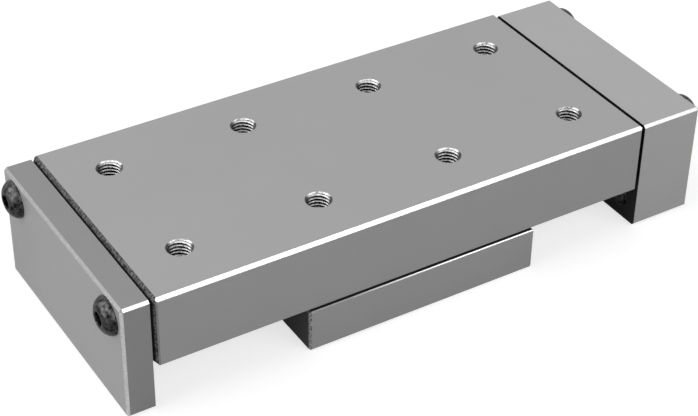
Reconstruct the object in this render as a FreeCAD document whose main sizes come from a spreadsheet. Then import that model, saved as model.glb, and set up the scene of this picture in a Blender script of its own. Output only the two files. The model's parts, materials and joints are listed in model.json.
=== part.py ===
import FreeCAD, Part
import os
import Sketcher

# Dovetail slide, in millimetres.
# A short saddle stands on its underside and holds a dovetail channel. A long table lies over it, and a
# dovetail way bolted under the table runs in the channel, between thin low-friction liners and a gib.
# A plate closes the table's left end and a thicker block its right end. Both reach down past the saddle's
# ends, so they stop the travel, through soft bumpers on the left and soft-tipped stop screws on the right.
#
# Frame: the origin is the centre of the saddle's underside, +X runs along the travel towards the thick
# block, +Y points to the back, where the gib screws and the lock are, and +Z points up.
# "Front" and "back" are -Y and +Y, "left" and "right" are -X and +X.

SIZES = [
    ("slide_width", 45.3, "width of the table and of the saddle"),
    ("table_length", 95.25, "length of the table between its end rims"),
    ("table_thick", 13.3, "thickness of the table"),
    ("table_gap", 0.45, "open gap between the table's underside and the saddle's shoulders"),
    ("table_rest_x", -2.6, "where the table's middle stands at rest, from the saddle's middle"),
    ("table_top_chamfer", 0.55, "chamfer along the table's two long top edges"),
    ("table_low_chamfer", 0.3, "chamfer along the table's two long bottom edges"),
    ("table_end_chamfer", 0.9, "chamfer round each end of the table"),
    ("seat_height", 0.25, "how far the pad that an end piece seats on stands out of the table's end"),
    ("seat_inset", 2.0, "how far that pad stays inside the table's outline"),
    ("hole_pitch_x", 25.4, "pitch of the tapped holes along the table"),
    ("hole_pitch_y", 25.4, "distance between the two rows of tapped holes"),
    ("hole_shift_x", 0.3, "how far the hole pattern lies to the right of the table's middle"),
    ("tapped_radius", 2.083, "thread radius of the table's and the saddle's mounting holes"),
    ("tapped_sink_radius", 2.3, "radius of the countersink at the mouth of a mounting hole"),
    ("table_hole_depth", 9.0, "depth of full thread in the table"),
    ("saddle_length", 44.95, "length of the saddle along the travel"),
    ("saddle_height", 8.25, "height of the saddle's shoulders over its underside"),
    ("saddle_chamfer", 0.4, "chamfer on the saddle's outer edges, but for the two long top ones"),
    ("saddle_top_chamfer", 0.15, "chamfer along the saddle's two long top edges"),
    ("channel_floor", 2.8, "height of the dovetail channel's floor over the underside"),
    ("base_pitch_x", 35.0, "pitch of the saddle's mounting holes along the travel"),
    ("base_pitch_y", 37.0, "pitch of the saddle's mounting holes across the travel"),
    ("base_hole_depth", 5.5, "depth of full thread in the saddle"),
    ("flank_angle", 60.0, "angle of the dovetail's flanks from the horizontal, in degrees"),
    ("way_root_width", 16.0, "width of the dovetail way where it meets the table"),
    ("way_key_depth", 1.0, "how deep the way is let into the table's underside"),
    ("way_key_gap", 0.02, "clearance on each side of the way in that groove"),
    ("way_corner_flat", 0.4, "height of the flat that blunts the way's sharp corners"),
    ("way_relief_width", 7.0, "width of the relief down the middle of the way's underside"),
    ("way_relief_depth", 0.4, "depth of that relief"),
    ("way_screw_margin", 8.25, "distance from an end of the way to its outermost screw"),
    ("way_screw_reach", 4.0, "how far a way screw reaches into the table past the way"),
    ("small_thread_radius", 1.42, "thread radius of the way screws and gib screws"),
    ("flat_head_radius", 2.86, "radius of a way screw's flat head"),
    ("flat_head_half_angle", 41.0, "half of the flat head's countersink angle, in degrees"),
    ("running_gap", 0.03, "running clearance between the way and what guides it, square to the face"),
    ("liner_thick", 0.5, "thickness of the low-friction liners"),
    ("floor_liner_width", 6.0, "width of a floor liner"),
    ("floor_liner_inset", 4.2, "distance of a floor liner's inner edge from the middle"),
    ("liner_end_inset", 0.3, "how far liners and gib stop short of the saddle's ends"),
    ("guide_top_drop", 0.45, "how far the gib and the flank liner stay below the saddle's shoulders"),
    ("gib_thick", 2.6, "thickness of the gib, square to its faces"),
    ("gib_back_gap", 0.25, "adjusting room behind the gib, square to its face"),
    ("side_screw_height", 4.9, "height of the gib screws and the lock over the underside"),
    ("gib_screw_spread", 22.0, "distance between the two gib screws"),
    ("gib_dimple_depth", 1.2, "depth of a dimple in the gib, on the screw's axis"),
    ("dog_radius", 0.9, "radius of a gib screw's dog point"),
    ("dog_gap", 0.1, "clearance round the dog point in its dimple"),
    ("gib_screw_proud", 0.6, "how far a gib screw stands out of its jam nut"),
    ("jam_nut_flats", 4.76, "width of a jam nut across its flats"),
    ("jam_nut_thick", 1.65, "thickness of a jam nut"),
    ("small_socket_flats", 1.27, "width across flats of a gib screw's hexagon socket"),
    ("screw_socket_depth", 1.2, "depth of the other hexagon sockets"),
    ("thread_gap", 0.02, "clearance round a fixed screw in its thread"),
    ("screw_bore_gap", 0.15, "clearance round a screw in the plain bore of what it clamps"),
    ("small_edge", 0.15, "chamfer on the ends of screws, bumpers and stop tips"),
    ("lock_radius", 1.75, "radius of the lock screw and of the lock plug"),
    ("lock_bore_gap", 0.05, "running clearance round the lock screw and plug"),
    ("lock_pitch", 0.79375, "how far the lock screw moves in a full turn"),
    ("lock_turn", 120.0, "how far the lock screw turns from free to locked, in degrees"),
    ("lock_end_gap", 0.05, "what is left between plug and gib when locked"),
    ("lock_plug_length", 4.0, "length of the lock plug on its axis"),
    ("lock_face_gap", 0.03, "running clearance between lock screw and lock plug"),
    ("lock_head_standoff", 1.2, "distance of the lock screw's head from the saddle's back when free"),
    ("lock_head_radius", 2.87, "radius of the lock screw's head"),
    ("lock_head_height", 3.5, "height of the lock screw's head"),
    ("lock_socket_flats", 2.78, "width across flats of the lock screw's socket"),
    ("lock_socket_depth", 1.8, "depth of that socket"),
    ("end_inset", 0.4, "how much narrower an end piece is than the table, on each side"),
    ("end_clearance", 0.25, "height of the end pieces' undersides over the saddle's underside"),
    ("end_chamfer", 0.45, "chamfer on the end pieces' outer edges"),
    ("left_plate_thick", 4.9, "thickness of the left end plate"),
    ("left_plate_drop", 0.2, "how far the left end plate's top lies below the table's"),
    ("right_block_thick", 12.25, "thickness of the right end block"),
    ("right_block_drop", 0.45, "how far the right end block's top lies below the table's"),
    ("end_screw_margin", 4.95, "distance of an end piece's screws from the table's sides"),
    ("end_screw_depth", 4.0, "depth of those screws' axes below the table's top"),
    ("end_screw_radius", 1.753, "thread radius of those screws"),
    ("end_screw_reach", 8.0, "how far those screws reach into the table"),
    ("button_radius", 3.325, "radius of a button head"),
    ("button_height", 1.85, "height of a button head"),
    ("button_rim", 0.35, "height of the straight rim at the foot of a button head"),
    ("button_flat_radius", 1.6, "radius of the flat on top of a button head"),
    ("button_dome_radius", 2.4, "radius of the arc between that rim and that flat"),
    ("button_socket_flats", 1.98, "width across flats of a button head's socket"),
    ("dowel_radius", 1.19, "radius of the dowels that locate the end pieces"),
    ("dowel_margin", 10.65, "distance of those dowels from the table's sides"),
    ("dowel_depth", 7.5, "depth of the dowels' axes below the table's top"),
    ("dowel_in_plate", 3.0, "how far a dowel sits in its end piece"),
    ("dowel_in_table", 5.0, "how far a dowel sits in the table"),
    ("dowel_gap", 0.01, "clearance round a dowel"),
    ("dowel_end_room", 0.4, "empty length past each end of a dowel"),
    ("stop_margin", 5.15, "distance of the stops from the table's sides"),
    ("stop_height", 4.3, "height of the stops over the saddle's underside"),
    ("stop_proud", 0.3, "how far a bumper or stop tip stands out of its end piece"),
    ("bumper_radius", 2.5, "radius of a bumper in the left end plate"),
    ("bumper_seat_depth", 2.5, "depth of the pocket that holds a bumper"),
    ("bumper_gap", 0.02, "clearance round a bumper"),
    ("stop_screw_length", 9.0, "length of a stop screw"),
    ("stop_screw_recess", 0.2, "how far a stop screw's nose stays inside the block's inner face"),
    ("stop_socket_flats", 1.98, "width across flats of a stop screw's socket"),
    ("stop_tip_radius", 1.3, "radius of the soft tip in a stop screw's nose"),
    ("stop_tip_depth", 2.0, "how deep the soft tip sits in the nose"),
]

HOLE_COLUMNS = 4
HOLE_ROWS = 2
WAY_SCREWS = 4
DRILL_POINT = 0.6

# Places that follow from the sizes.
PLACES = [
    ("table_low", "Sizes.saddle_height + Sizes.table_gap"),
    ("table_top", "table_low + Sizes.table_thick"),
    ("way_low", "Sizes.channel_floor + Sizes.liner_thick + Sizes.running_gap"),
    ("way_relief_top", "way_low + Sizes.way_relief_depth"),
    ("way_top", "table_low + Sizes.way_key_depth"),
    ("guide_top", "Sizes.saddle_height - Sizes.guide_top_drop"),
    ("guide_length", "Sizes.saddle_length - 2 * Sizes.liner_end_inset"),
    ("end_face_x", "Sizes.table_length / 2 + Sizes.seat_height"),
    ("end_half_width", "Sizes.slide_width / 2 - Sizes.end_inset"),
    ("way_screw_pitch", f"(Sizes.table_length - 2 * Sizes.way_screw_margin) / {WAY_SCREWS - 1}"),
    ("end_screw_y", "Sizes.slide_width / 2 - Sizes.end_screw_margin"),
    ("end_screw_z", "table_top - Sizes.end_screw_depth"),
    ("dowel_y", "Sizes.slide_width / 2 - Sizes.dowel_margin"),
    ("dowel_z", "table_top - Sizes.dowel_depth"),
    ("stop_y", "Sizes.slide_width / 2 - Sizes.stop_margin"),
    ("lock_travel", "Sizes.lock_pitch * Sizes.lock_turn / 360"),
    ("lock_standoff", "lock_travel + Sizes.lock_end_gap"),
    ("gib_outer_gap", "Sizes.running_gap + Sizes.gib_thick"),
    ("lock_tip_gap", "gib_outer_gap + lock_standoff * sin(Sizes.flank_angle)"),
    ("gib_slope_rise", "Sizes.small_thread_radius / tan(Sizes.flank_angle)"),
    ("dog_length", "Sizes.gib_dimple_depth + gib_slope_rise + Sizes.dog_gap"),
]

LEFT, RIGHT = -1, 1
FRONT, BACK = -1, 1
SIDE_NAMES = {FRONT: "front", BACK: "back"}
END_NAMES = {LEFT: "left", RIGHT: "right"}

ALONG_X = FreeCAD.Rotation(FreeCAD.Vector(0, 1, 0), 90)
AGAINST_X = FreeCAD.Rotation(FreeCAD.Vector(0, 1, 0), -90)
ALONG_Y = FreeCAD.Rotation(FreeCAD.Vector(1, 0, 0), -90)
DOWNWARDS = FreeCAD.Rotation(FreeCAD.Vector(1, 0, 0), 180)

doc = FreeCAD.newDocument("dovetail_slide")


def fill_sheet(name, rows):
    """Sheet of named values: the name, the value under that name, and a note where there is one."""
    sheet = doc.addObject("Spreadsheet::Sheet", name)
    for number, (alias, value, *note) in enumerate(rows, start=1):
        sheet.set(f"A{number}", alias)
        sheet.set(f"B{number}", f"={value}" if isinstance(value, str) else str(value))
        sheet.setAlias(f"B{number}", alias)
        if note:
            sheet.set(f"C{number}", note[0])
    return sheet


sizes = fill_sheet("Sizes", SIZES)
places = fill_sheet("Places", PLACES)
doc.recompute()


def value_of(expression):
    """What an expression of the sheets comes to, for drawing a sketch near its final shape."""
    return float(places.evalExpression(expression))


def flank(height, gap="0", side=BACK):
    """How far from the middle a dovetail flank lies at a height, with a gap square to the flank."""
    level = f"(Places.table_low - ({height})) / tan(Sizes.flank_angle)"
    return f"{side} * (Sizes.way_root_width / 2 + {level} + ({gap}) / sin(Sizes.flank_angle))"


def new_body(label, at=("0", "0", "0"), turn=None):
    """Body whose own origin stands at a place given by three expressions."""
    body = doc.addObject("PartDesign::Body", label)
    body.Label = label
    if turn:
        body.Placement = FreeCAD.Placement(FreeCAD.Vector(0, 0, 0), turn)
    for axis, place in zip("xyz", at):
        body.setExpression(f"Placement.Base.{axis}", place)
    return body


def origin_feature(body, role):
    """One of the body's own origin planes or axes."""
    return next(feature for feature in body.Origin.OriginFeatures if feature.Role == role)


def sketch_on(body, plane, shift=None):
    """Sketch on an origin plane of its body, moved by expressions along its own x, y and normal."""
    sketch = body.newObject("Sketcher::SketchObject", f"{body.Label}_sketch")
    sketch.AttachmentSupport = [(origin_feature(body, plane), "")]
    sketch.MapMode = "FlatFace"
    for axis, distance in (shift or {}).items():
        sketch.setExpression(f"AttachmentOffset.Base.{axis}", distance)
    return sketch


def pin_down(sketch, geometry, point, x, y):
    """Tie a point of the sketch to two expressions, measured from the sketch's origin."""
    for kind, expression in (("DistanceX", x), ("DistanceY", y)):
        tie = Sketcher.Constraint(kind, -1, 1, geometry, point, value_of(expression))
        sketch.setExpression(f"Constraints[{sketch.addConstraint(tie)}]", expression)


def outline(sketch, corners, arcs=None):
    """Closed outline through corners given as expressions; arcs maps a side's number to its radius."""
    arcs = arcs or {}
    first = sketch.GeometryCount
    points = [FreeCAD.Vector(value_of(x), value_of(y), 0) for x, y in corners]
    last = len(points) - 1
    for number, start in enumerate(points):
        end = points[number + 1] if number < last else points[0]
        if number in arcs:
            sketch.addGeometry(bulge(start, end, value_of(arcs[number])), False)
        else:
            sketch.addGeometry(Part.LineSegment(start, end), False)
    for number, (x, y) in enumerate(corners):
        here = first + number
        following = first + (number + 1 if number < last else 0)
        sketch.addConstraint(Sketcher.Constraint("Coincident", here, 2, following, 1))
        pin_down(sketch, here, 1, x, y)
        if number in arcs:
            tie = Sketcher.Constraint("Radius", here, value_of(arcs[number]))
            sketch.setExpression(f"Constraints[{sketch.addConstraint(tie)}]", arcs[number])


def bulge(start, end, radius):
    """Arc that turns left from start to end, so it bulges to the right of the way it runs."""
    middle = (start + end) * 0.5
    along = end - start
    half = along.Length / 2
    left = FreeCAD.Vector(-along.y, along.x, 0).normalize()
    centre = middle + left * (radius ** 2 - half ** 2) ** 0.5
    crown = centre - left * radius
    return Part.Arc(start, crown, end)


def hexagon(sketch, flats):
    """Hexagon of a given width across its flats, round the sketch's origin."""
    corner = f"({flats}) / 2 / cos(30)"
    angles = [60 * number for number in range(6)]
    outline(sketch, [(f"{corner} * cos({angle})", f"{corner} * sin({angle})") for angle in angles])


def circle(sketch, radius):
    """Circle round the sketch's origin."""
    ring = Part.Circle(FreeCAD.Vector(0, 0, 0), FreeCAD.Vector(0, 0, 1), value_of(radius))
    number = sketch.addGeometry(ring, False)
    sketch.addConstraint(Sketcher.Constraint("Coincident", number, 3, -1, 1))
    tie = Sketcher.Constraint("Radius", number, value_of(radius))
    sketch.setExpression(f"Constraints[{sketch.addConstraint(tie)}]", radius)


def pad(body, sketch, length, reverse=False, symmetric=False):
    """Straight length of material with the sketch as its section."""
    feature = body.newObject("PartDesign::Pad", f"{body.Label}_pad")
    feature.Profile = sketch
    feature.SideType = "Symmetric" if symmetric else "One side"
    feature.Reversed = reverse
    feature.setExpression("Length", length)
    doc.recompute()
    return feature


def revolve(body, sketch, axis="V_Axis"):
    """Turned piece with the sketch as its half section."""
    feature = body.newObject("PartDesign::Revolution", f"{body.Label}_turning")
    feature.Profile = sketch
    feature.ReferenceAxis = (sketch, [axis])
    feature.Angle = 360
    doc.recompute()
    return feature


def checked_cut(body, feature, volume_before):
    """A cut that took no material away is an error."""
    doc.recompute()
    if not feature.Shape.Volume < volume_before:
        raise ValueError(f"{feature.Name} of {body.Label} cuts nothing")
    return feature


def pocket(body, sketch, depth=None):
    """Cut with the sketch as its section: to a depth behind the sketch, or right through both ways."""
    before = body.Shape.Volume
    feature = body.newObject("PartDesign::Pocket", f"{body.Label}_pocket")
    feature.Profile = sketch
    if depth:
        feature.setExpression("Length", depth)
    else:
        feature.SideType = "Symmetric"
        feature.Type = "ThroughAll"
    return checked_cut(body, feature, before)


def drill(body, plane, axis, shift, steps):
    """Turned cut round a sketch axis: steps are (distance along the axis, radius) pairs."""
    before = body.Shape.Volume
    sketch = sketch_on(body, plane, shift)
    outline(sketch, [(along, radius) if axis == "H_Axis" else (radius, along) for along, radius in steps])
    feature = body.newObject("PartDesign::Groove", f"{body.Label}_bore")
    feature.Profile = sketch
    feature.ReferenceAxis = (sketch, [axis])
    feature.Angle = 360
    return checked_cut(body, feature, before)


def grid(body, feature, columns, pitch_x, rows=1, pitch_y="0"):
    """Repeat a cut in columns along X and rows along Y."""
    before = body.Shape.Volume
    pattern = body.newObject("PartDesign::LinearPattern", f"{body.Label}_pattern")
    pattern.Originals = [feature]
    pattern.Direction = (origin_feature(body, "X_Axis"), [""])
    pattern.Occurrences = columns
    pattern.setExpression("Length", f"{columns - 1} * {pitch_x}")
    if rows > 1:
        pattern.Direction2 = (origin_feature(body, "Y_Axis"), [""])
        pattern.Occurrences2 = rows
        pattern.setExpression("Length2", f"{rows - 1} * {pitch_y}")
    body.Tip = pattern
    return checked_cut(body, pattern, before)


def on_box_faces(edge, box):
    """Which faces of a bounding box an edge lies on, as (axis, end) pairs."""
    near = 1e-4
    found = set()
    for axis in "XYZ":
        low, high = getattr(edge.BoundBox, f"{axis}Min"), getattr(edge.BoundBox, f"{axis}Max")
        for end in ("Min", "Max"):
            face = getattr(box, axis + end)
            if abs(low - face) < near and abs(high - face) < near:
                found.add((axis, end))
    return found


LONG_TOP_EDGES = [{("Y", "Min"), ("Z", "Max")}, {("Y", "Max"), ("Z", "Max")}]


def rim_edges(body, wanted=None, kept_off=None):
    """Names of the edges on two faces of the piece's bounding box, or on one pair of faces only."""
    shape = body.Tip.Shape
    names = []
    for number, edge in enumerate(shape.Edges, start=1):
        faces = on_box_faces(edge, shape.BoundBox)
        if len(faces) < 2 or kept_off in faces:
            continue
        if wanted is None or faces in wanted:
            names.append(f"Edge{number}")
    return names


def face_edges(body, faces):
    """Names of the edges that lie on any of these faces of the bounding box."""
    shape = body.Tip.Shape
    numbered = enumerate(shape.Edges, start=1)
    return [f"Edge{number}" for number, edge in numbered if on_box_faces(edge, shape.BoundBox) & faces]


def chamfer(body, edges, size):
    """Equal chamfer on named edges of the body as it stands."""
    before = body.Shape.Volume
    base = body.Tip
    feature = body.newObject("PartDesign::Chamfer", f"{body.Label}_chamfer")
    feature.Base = (base, edges)
    feature.setExpression("Size", size)
    return checked_cut(body, feature, before)


def blind_steps(mouth, inwards, radius, depth, sink=None):
    """Half section of a blind hole: an optional countersink, a straight wall and a drill point."""
    entry = [(mouth, radius)]
    if sink:
        entry = [(mouth, sink), (f"{mouth} + {inwards} * ({sink} - {radius})", radius)]
    return [(mouth, "0")] + entry + [
        (f"{mouth} + {inwards} * ({depth})", radius),
        (f"{mouth} + {inwards} * ({depth} + {DRILL_POINT} * {radius})", "0"),
    ]


def plain_steps(start, end, radius):
    """Half section of a straight bore from one distance to another."""
    return [(start, "0"), (start, radius), (end, radius), (end, "0")]


def flank_strip(label, near_gap, far_gap, side):
    """Strip along a dovetail flank, between two gaps square to it, lying on the channel's floor."""
    body = new_body(label)
    section = sketch_on(body, "YZ_Plane")
    low, high = "Sizes.channel_floor", "Places.guide_top"
    outline(section, [
        (flank(low, near_gap, side), low),
        (flank(low, far_gap, side), low),
        (flank(high, far_gap, side), high),
        (flank(high, near_gap, side), high),
    ])
    pad(body, section, "Places.guide_length", symmetric=True)
    return body


def saddle_block():
    """The part that is bolted down: a block with the dovetail channel along its top."""
    body = new_body("saddle_block")
    half, top, floor = "Sizes.slide_width / 2", "Sizes.saddle_height", "Sizes.channel_floor"
    front_gap = "Sizes.liner_thick + Sizes.running_gap"
    back_gap = "Places.gib_outer_gap + Sizes.gib_back_gap"
    section = sketch_on(body, "YZ_Plane")
    outline(section, [
        (f"-{half}", "0"),
        (half, "0"),
        (half, top),
        (flank(top, back_gap), top),
        (flank(floor, back_gap), floor),
        (flank(floor, front_gap, FRONT), floor),
        (flank(top, front_gap, FRONT), top),
        (f"-{half}", top),
    ])
    pad(body, section, "Sizes.saddle_length", symmetric=True)
    long_top = rim_edges(body, LONG_TOP_EDGES)
    chamfer(body, [edge for edge in rim_edges(body) if edge not in long_top], "Sizes.saddle_chamfer")
    chamfer(body, rim_edges(body, LONG_TOP_EDGES), "Sizes.saddle_top_chamfer")

    hole = drill(
        body, "XZ_Plane", "V_Axis",
        {"x": "-Sizes.base_pitch_x / 2", "z": "Sizes.base_pitch_y / 2"},
        blind_steps("0", "1", "Sizes.tapped_radius", "Sizes.base_hole_depth", "Sizes.tapped_sink_radius"))
    grid(body, hole, 2, "Sizes.base_pitch_x", 2, "Sizes.base_pitch_y")

    inside = flank("Sizes.side_screw_height + Sizes.lock_radius", "Sizes.gib_thick")
    for x in ("-Sizes.gib_screw_spread / 2", "Sizes.gib_screw_spread / 2"):
        drill(body, "XY_Plane", "V_Axis", {"x": x, "z": "Sizes.side_screw_height"},
              plain_steps(inside, half, "Sizes.small_thread_radius + Sizes.thread_gap"))
    drill(body, "XY_Plane", "V_Axis", {"z": "Sizes.side_screw_height"},
          plain_steps(inside, half, "Sizes.lock_radius + Sizes.lock_bore_gap"))
    return body


def floor_liner(side):
    """Low-friction strip on the channel's floor, under one half of the way."""
    liner = doc.addObject("Part::Box", f"floor_liner_{SIDE_NAMES[side]}")
    liner.Label = f"floor_liner_{SIDE_NAMES[side]}"
    liner.setExpression("Length", "Places.guide_length")
    liner.setExpression("Width", "Sizes.floor_liner_width")
    liner.setExpression("Height", "Sizes.liner_thick")
    middle = f"{side} * (Sizes.floor_liner_inset + Sizes.floor_liner_width / 2)"
    liner.setExpression("Placement.Base.x", "-Places.guide_length / 2")
    liner.setExpression("Placement.Base.y", f"{middle} - Sizes.floor_liner_width / 2")
    liner.setExpression("Placement.Base.z", "Sizes.channel_floor")
    return liner


def flank_liner():
    """Low-friction strip on the channel's front flank."""
    return flank_strip("flank_liner", "Sizes.running_gap", "Sizes.running_gap + Sizes.liner_thick", FRONT)


def gib_face_y():
    """Where a side screw's axis meets the gib's outer face."""
    return flank("Sizes.side_screw_height", "Places.gib_outer_gap")


def gib():
    """Bar between the way's back flank and the side screws, with a dimple for each gib screw."""
    body = flank_strip("gib", "Sizes.running_gap", "Places.gib_outer_gap", BACK)
    bottom = f"{gib_face_y()} - Sizes.gib_dimple_depth"
    outside = flank("Sizes.channel_floor", "Places.gib_outer_gap")
    for x in ("-Sizes.gib_screw_spread / 2", "Sizes.gib_screw_spread / 2"):
        drill(body, "XY_Plane", "V_Axis", {"x": x, "z": "Sizes.side_screw_height"},
              plain_steps(bottom, outside, "Sizes.dog_radius + Sizes.dog_gap"))
    return body


def turned(label, corners, at, turn=None, arcs=None):
    """Round piece about its own Z: corners are (radius, height) pairs."""
    body = new_body(label, at, turn)
    half_section = sketch_on(body, "XZ_Plane")
    outline(half_section, corners, arcs)
    revolve(body, half_section)
    return body


def socket(body, mouth, flats, depth):
    """Hexagon socket down the piece's own Z, from its mouth."""
    opening = sketch_on(body, "XY_Plane", {"z": mouth})
    hexagon(opening, flats)
    pocket(body, opening, depth)


def gib_screw(end):
    """Dog-point set screw that presses the gib against the way."""
    back, tip = "Sizes.slide_width / 2", f"({gib_face_y()} - Sizes.gib_dimple_depth)"
    length = f"({back} + Sizes.jam_nut_thick + Sizes.gib_screw_proud - {tip})"
    radius, dog = "Sizes.small_thread_radius", "Sizes.dog_radius"
    step = f"({radius} - {dog}) / 2"
    body = turned(f"gib_screw_{END_NAMES[end]}", [
        ("0", "0"),
        (dog, "0"),
        (dog, "Places.dog_length"),
        (radius, f"Places.dog_length + {step}"),
        (radius, f"{length} - {step}"),
        (f"{radius} - {step}", length),
        ("0", length),
    ], (f"{end} * Sizes.gib_screw_spread / 2", tip, "Sizes.side_screw_height"), ALONG_Y)
    socket(body, length, "Sizes.small_socket_flats", "Sizes.screw_socket_depth")
    return body


def gib_nut(end):
    """Jam nut that keeps a gib screw where it was set."""
    at = (f"{end} * Sizes.gib_screw_spread / 2", "Sizes.slide_width / 2", "Sizes.side_screw_height")
    body = new_body(f"gib_nut_{END_NAMES[end]}", at, ALONG_Y)
    section = sketch_on(body, "XY_Plane")
    hexagon(section, "Sizes.jam_nut_flats")
    circle(section, "Sizes.small_thread_radius + Sizes.thread_gap")
    pad(body, section, "Sizes.jam_nut_thick")
    flat, corner = "Sizes.jam_nut_flats / 2", "Sizes.jam_nut_flats / 2 / cos(30)"
    fall = f"({corner} - {flat}) * tan(30)"
    drill(body, "XZ_Plane", "V_Axis", {}, [
        ("Sizes.jam_nut_thick", flat),
        ("Sizes.jam_nut_thick", corner),
        (f"Sizes.jam_nut_thick - {fall}", corner),
    ])
    return body


def lock_plug():
    """Brass plug that the lock screw drives against the gib; its tip is cut to the gib's slope."""
    body = new_body("lock_plug")
    height, radius = "Sizes.side_screw_height", "Sizes.lock_radius"
    gap = "Places.lock_tip_gap"
    high, low = f"{height} + 2 * {radius}", f"{height} - 2 * {radius}"
    outer = f"{flank(height, gap)} + Sizes.lock_plug_length"
    half_section = sketch_on(body, "XY_Plane", {"z": height})
    steps = plain_steps(flank(f"{height} + {radius}", gap), outer, radius)
    outline(half_section, [(across, along) for along, across in steps])
    revolve(body, half_section)
    slope = sketch_on(body, "YZ_Plane")
    outline(slope, [(flank(low, gap), low), (flank(high, gap), high), (flank(high, gap), low)])
    pocket(body, slope)
    return body


def lock_screw():
    """Cap screw, turned with a key, that clamps and frees the table."""
    seat = "(Sizes.slide_width / 2 + Sizes.lock_head_standoff)"
    plug_tip = flank("Sizes.side_screw_height", "Places.lock_tip_gap")
    plug_end = f"({plug_tip} + Sizes.lock_plug_length)"
    shank = f"({seat} - {plug_end} - Sizes.lock_face_gap)"
    radius, head, top = "Sizes.lock_radius", "Sizes.lock_head_radius", "Sizes.lock_head_height"
    edge = "Sizes.small_edge"
    body = turned("lock_screw", [
        ("0", f"-{shank}"),
        (f"{radius} - {edge}", f"-{shank}"),
        (radius, f"{edge} - {shank}"),
        (radius, "0"),
        (head, "0"),
        (head, f"{top} - 2 * {edge}"),
        (f"{head} - 2 * {edge}", top),
        ("0", top),
    ], ("0", seat, "Sizes.side_screw_height"), ALONG_Y)
    socket(body, top, "Sizes.lock_socket_flats", "Sizes.lock_socket_depth")
    return body


def table_plate():
    """The long plate that moves, with its tapped holes, chamfers and seats for what is bolted to it."""
    body = new_body("table_plate", ("Sizes.table_rest_x", "0", "0"))
    half, low, top = "Sizes.slide_width / 2", "Places.table_low", "Places.table_top"
    section = sketch_on(body, "YZ_Plane")
    outline(section, [(f"-{half}", low), (half, low), (half, top), (f"-{half}", top)])
    pad(body, section, "Sizes.table_length", symmetric=True)
    long_low = [{("Y", "Min"), ("Z", "Min")}, {("Y", "Max"), ("Z", "Min")}]
    chamfer(body, face_edges(body, {("X", "Min"), ("X", "Max")}), "Sizes.table_end_chamfer")
    chamfer(body, rim_edges(body, LONG_TOP_EDGES), "Sizes.table_top_chamfer")
    chamfer(body, rim_edges(body, long_low), "Sizes.table_low_chamfer")

    side = f"({half} - Sizes.seat_inset)"
    bottom, crown = f"{low} + Sizes.seat_inset", f"{top} - Sizes.seat_inset"
    seat = sketch_on(body, "YZ_Plane")
    outline(seat, [(f"-{side}", bottom), (side, bottom), (side, crown), (f"-{side}", crown)])
    pad(body, seat, "2 * Places.end_face_x", symmetric=True)

    key_half = "(Sizes.way_root_width / 2 + Sizes.way_key_gap)"
    key = sketch_on(body, "YZ_Plane")
    roof = "Places.way_top"
    outline(key, [(f"-{key_half}", low), (key_half, low), (key_half, roof), (f"-{key_half}", roof)])
    pocket(body, key)

    first_x = f"Sizes.hole_shift_x - {(HOLE_COLUMNS - 1) / 2} * Sizes.hole_pitch_x"
    hole = drill(
        body, "XZ_Plane", "V_Axis", {"x": first_x, "z": "Sizes.hole_pitch_y / 2"},
        blind_steps(top, "-1", "Sizes.tapped_radius", "Sizes.table_hole_depth", "Sizes.tapped_sink_radius"))
    grid(body, hole, HOLE_COLUMNS, "Sizes.hole_pitch_x", HOLE_ROWS, "Sizes.hole_pitch_y")

    way_thread = "Sizes.small_thread_radius + Sizes.thread_gap"
    way_hole = drill(
        body, "XZ_Plane", "V_Axis", {"x": f"-{(WAY_SCREWS - 1) / 2} * Places.way_screw_pitch"},
        blind_steps(roof, "1", f"({way_thread})", "Sizes.way_screw_reach"))
    grid(body, way_hole, WAY_SCREWS, "Places.way_screw_pitch")

    for end in (LEFT, RIGHT):
        mouth = f"{end} * Places.end_face_x"
        for row in (FRONT, BACK):
            drill(body, "XY_Plane", "H_Axis",
                  {"y": f"{row} * Places.end_screw_y", "z": "Places.end_screw_z"},
                  blind_steps(mouth, -end, "(Sizes.end_screw_radius + Sizes.thread_gap)",
                              "Sizes.end_screw_reach"))
            drill(body, "XY_Plane", "H_Axis",
                  {"y": f"{row} * Places.dowel_y", "z": "Places.dowel_z"},
                  blind_steps(mouth, -end, "(Sizes.dowel_radius + Sizes.dowel_gap)",
                              "Sizes.dowel_in_table + Sizes.dowel_end_room"))
    return body


def dovetail_way():
    """Steel bar let into the table's underside, with the two sloping flanks that hang in the channel."""
    body = new_body("dovetail_way", ("Sizes.table_rest_x", "0", "0"))
    root, relief = "Sizes.way_root_width / 2", "Sizes.way_relief_width / 2"
    low, blunt = "Places.way_low", "Places.way_low + Sizes.way_corner_flat"
    widest = flank(blunt)
    narrow_side = [
        (root, "Places.way_top"),
        (root, "Places.table_low"),
        (widest, blunt),
        (widest, low),
        (relief, low),
        (relief, "Places.way_relief_top"),
    ]
    mirrored_side = [(f"-({y})", z) for y, z in reversed(narrow_side)]
    section = sketch_on(body, "YZ_Plane")
    outline(section, narrow_side + mirrored_side)
    pad(body, section, "Sizes.table_length", symmetric=True)

    bore = "(Sizes.small_thread_radius + Sizes.screw_bore_gap)"
    head = "(Sizes.flat_head_radius + Sizes.thread_gap)"
    sink = f"({head} - {bore}) / tan(Sizes.flat_head_half_angle)"
    mouth = "Places.way_relief_top"
    hole = drill(
        body, "XZ_Plane", "V_Axis", {"x": f"-{(WAY_SCREWS - 1) / 2} * Places.way_screw_pitch"}, [
            (mouth, "0"),
            (mouth, head),
            (f"{mouth} + {sink}", bore),
            ("Places.way_top", bore),
            ("Places.way_top", "0"),
        ])
    grid(body, hole, WAY_SCREWS, "Places.way_screw_pitch")
    return body


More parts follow.
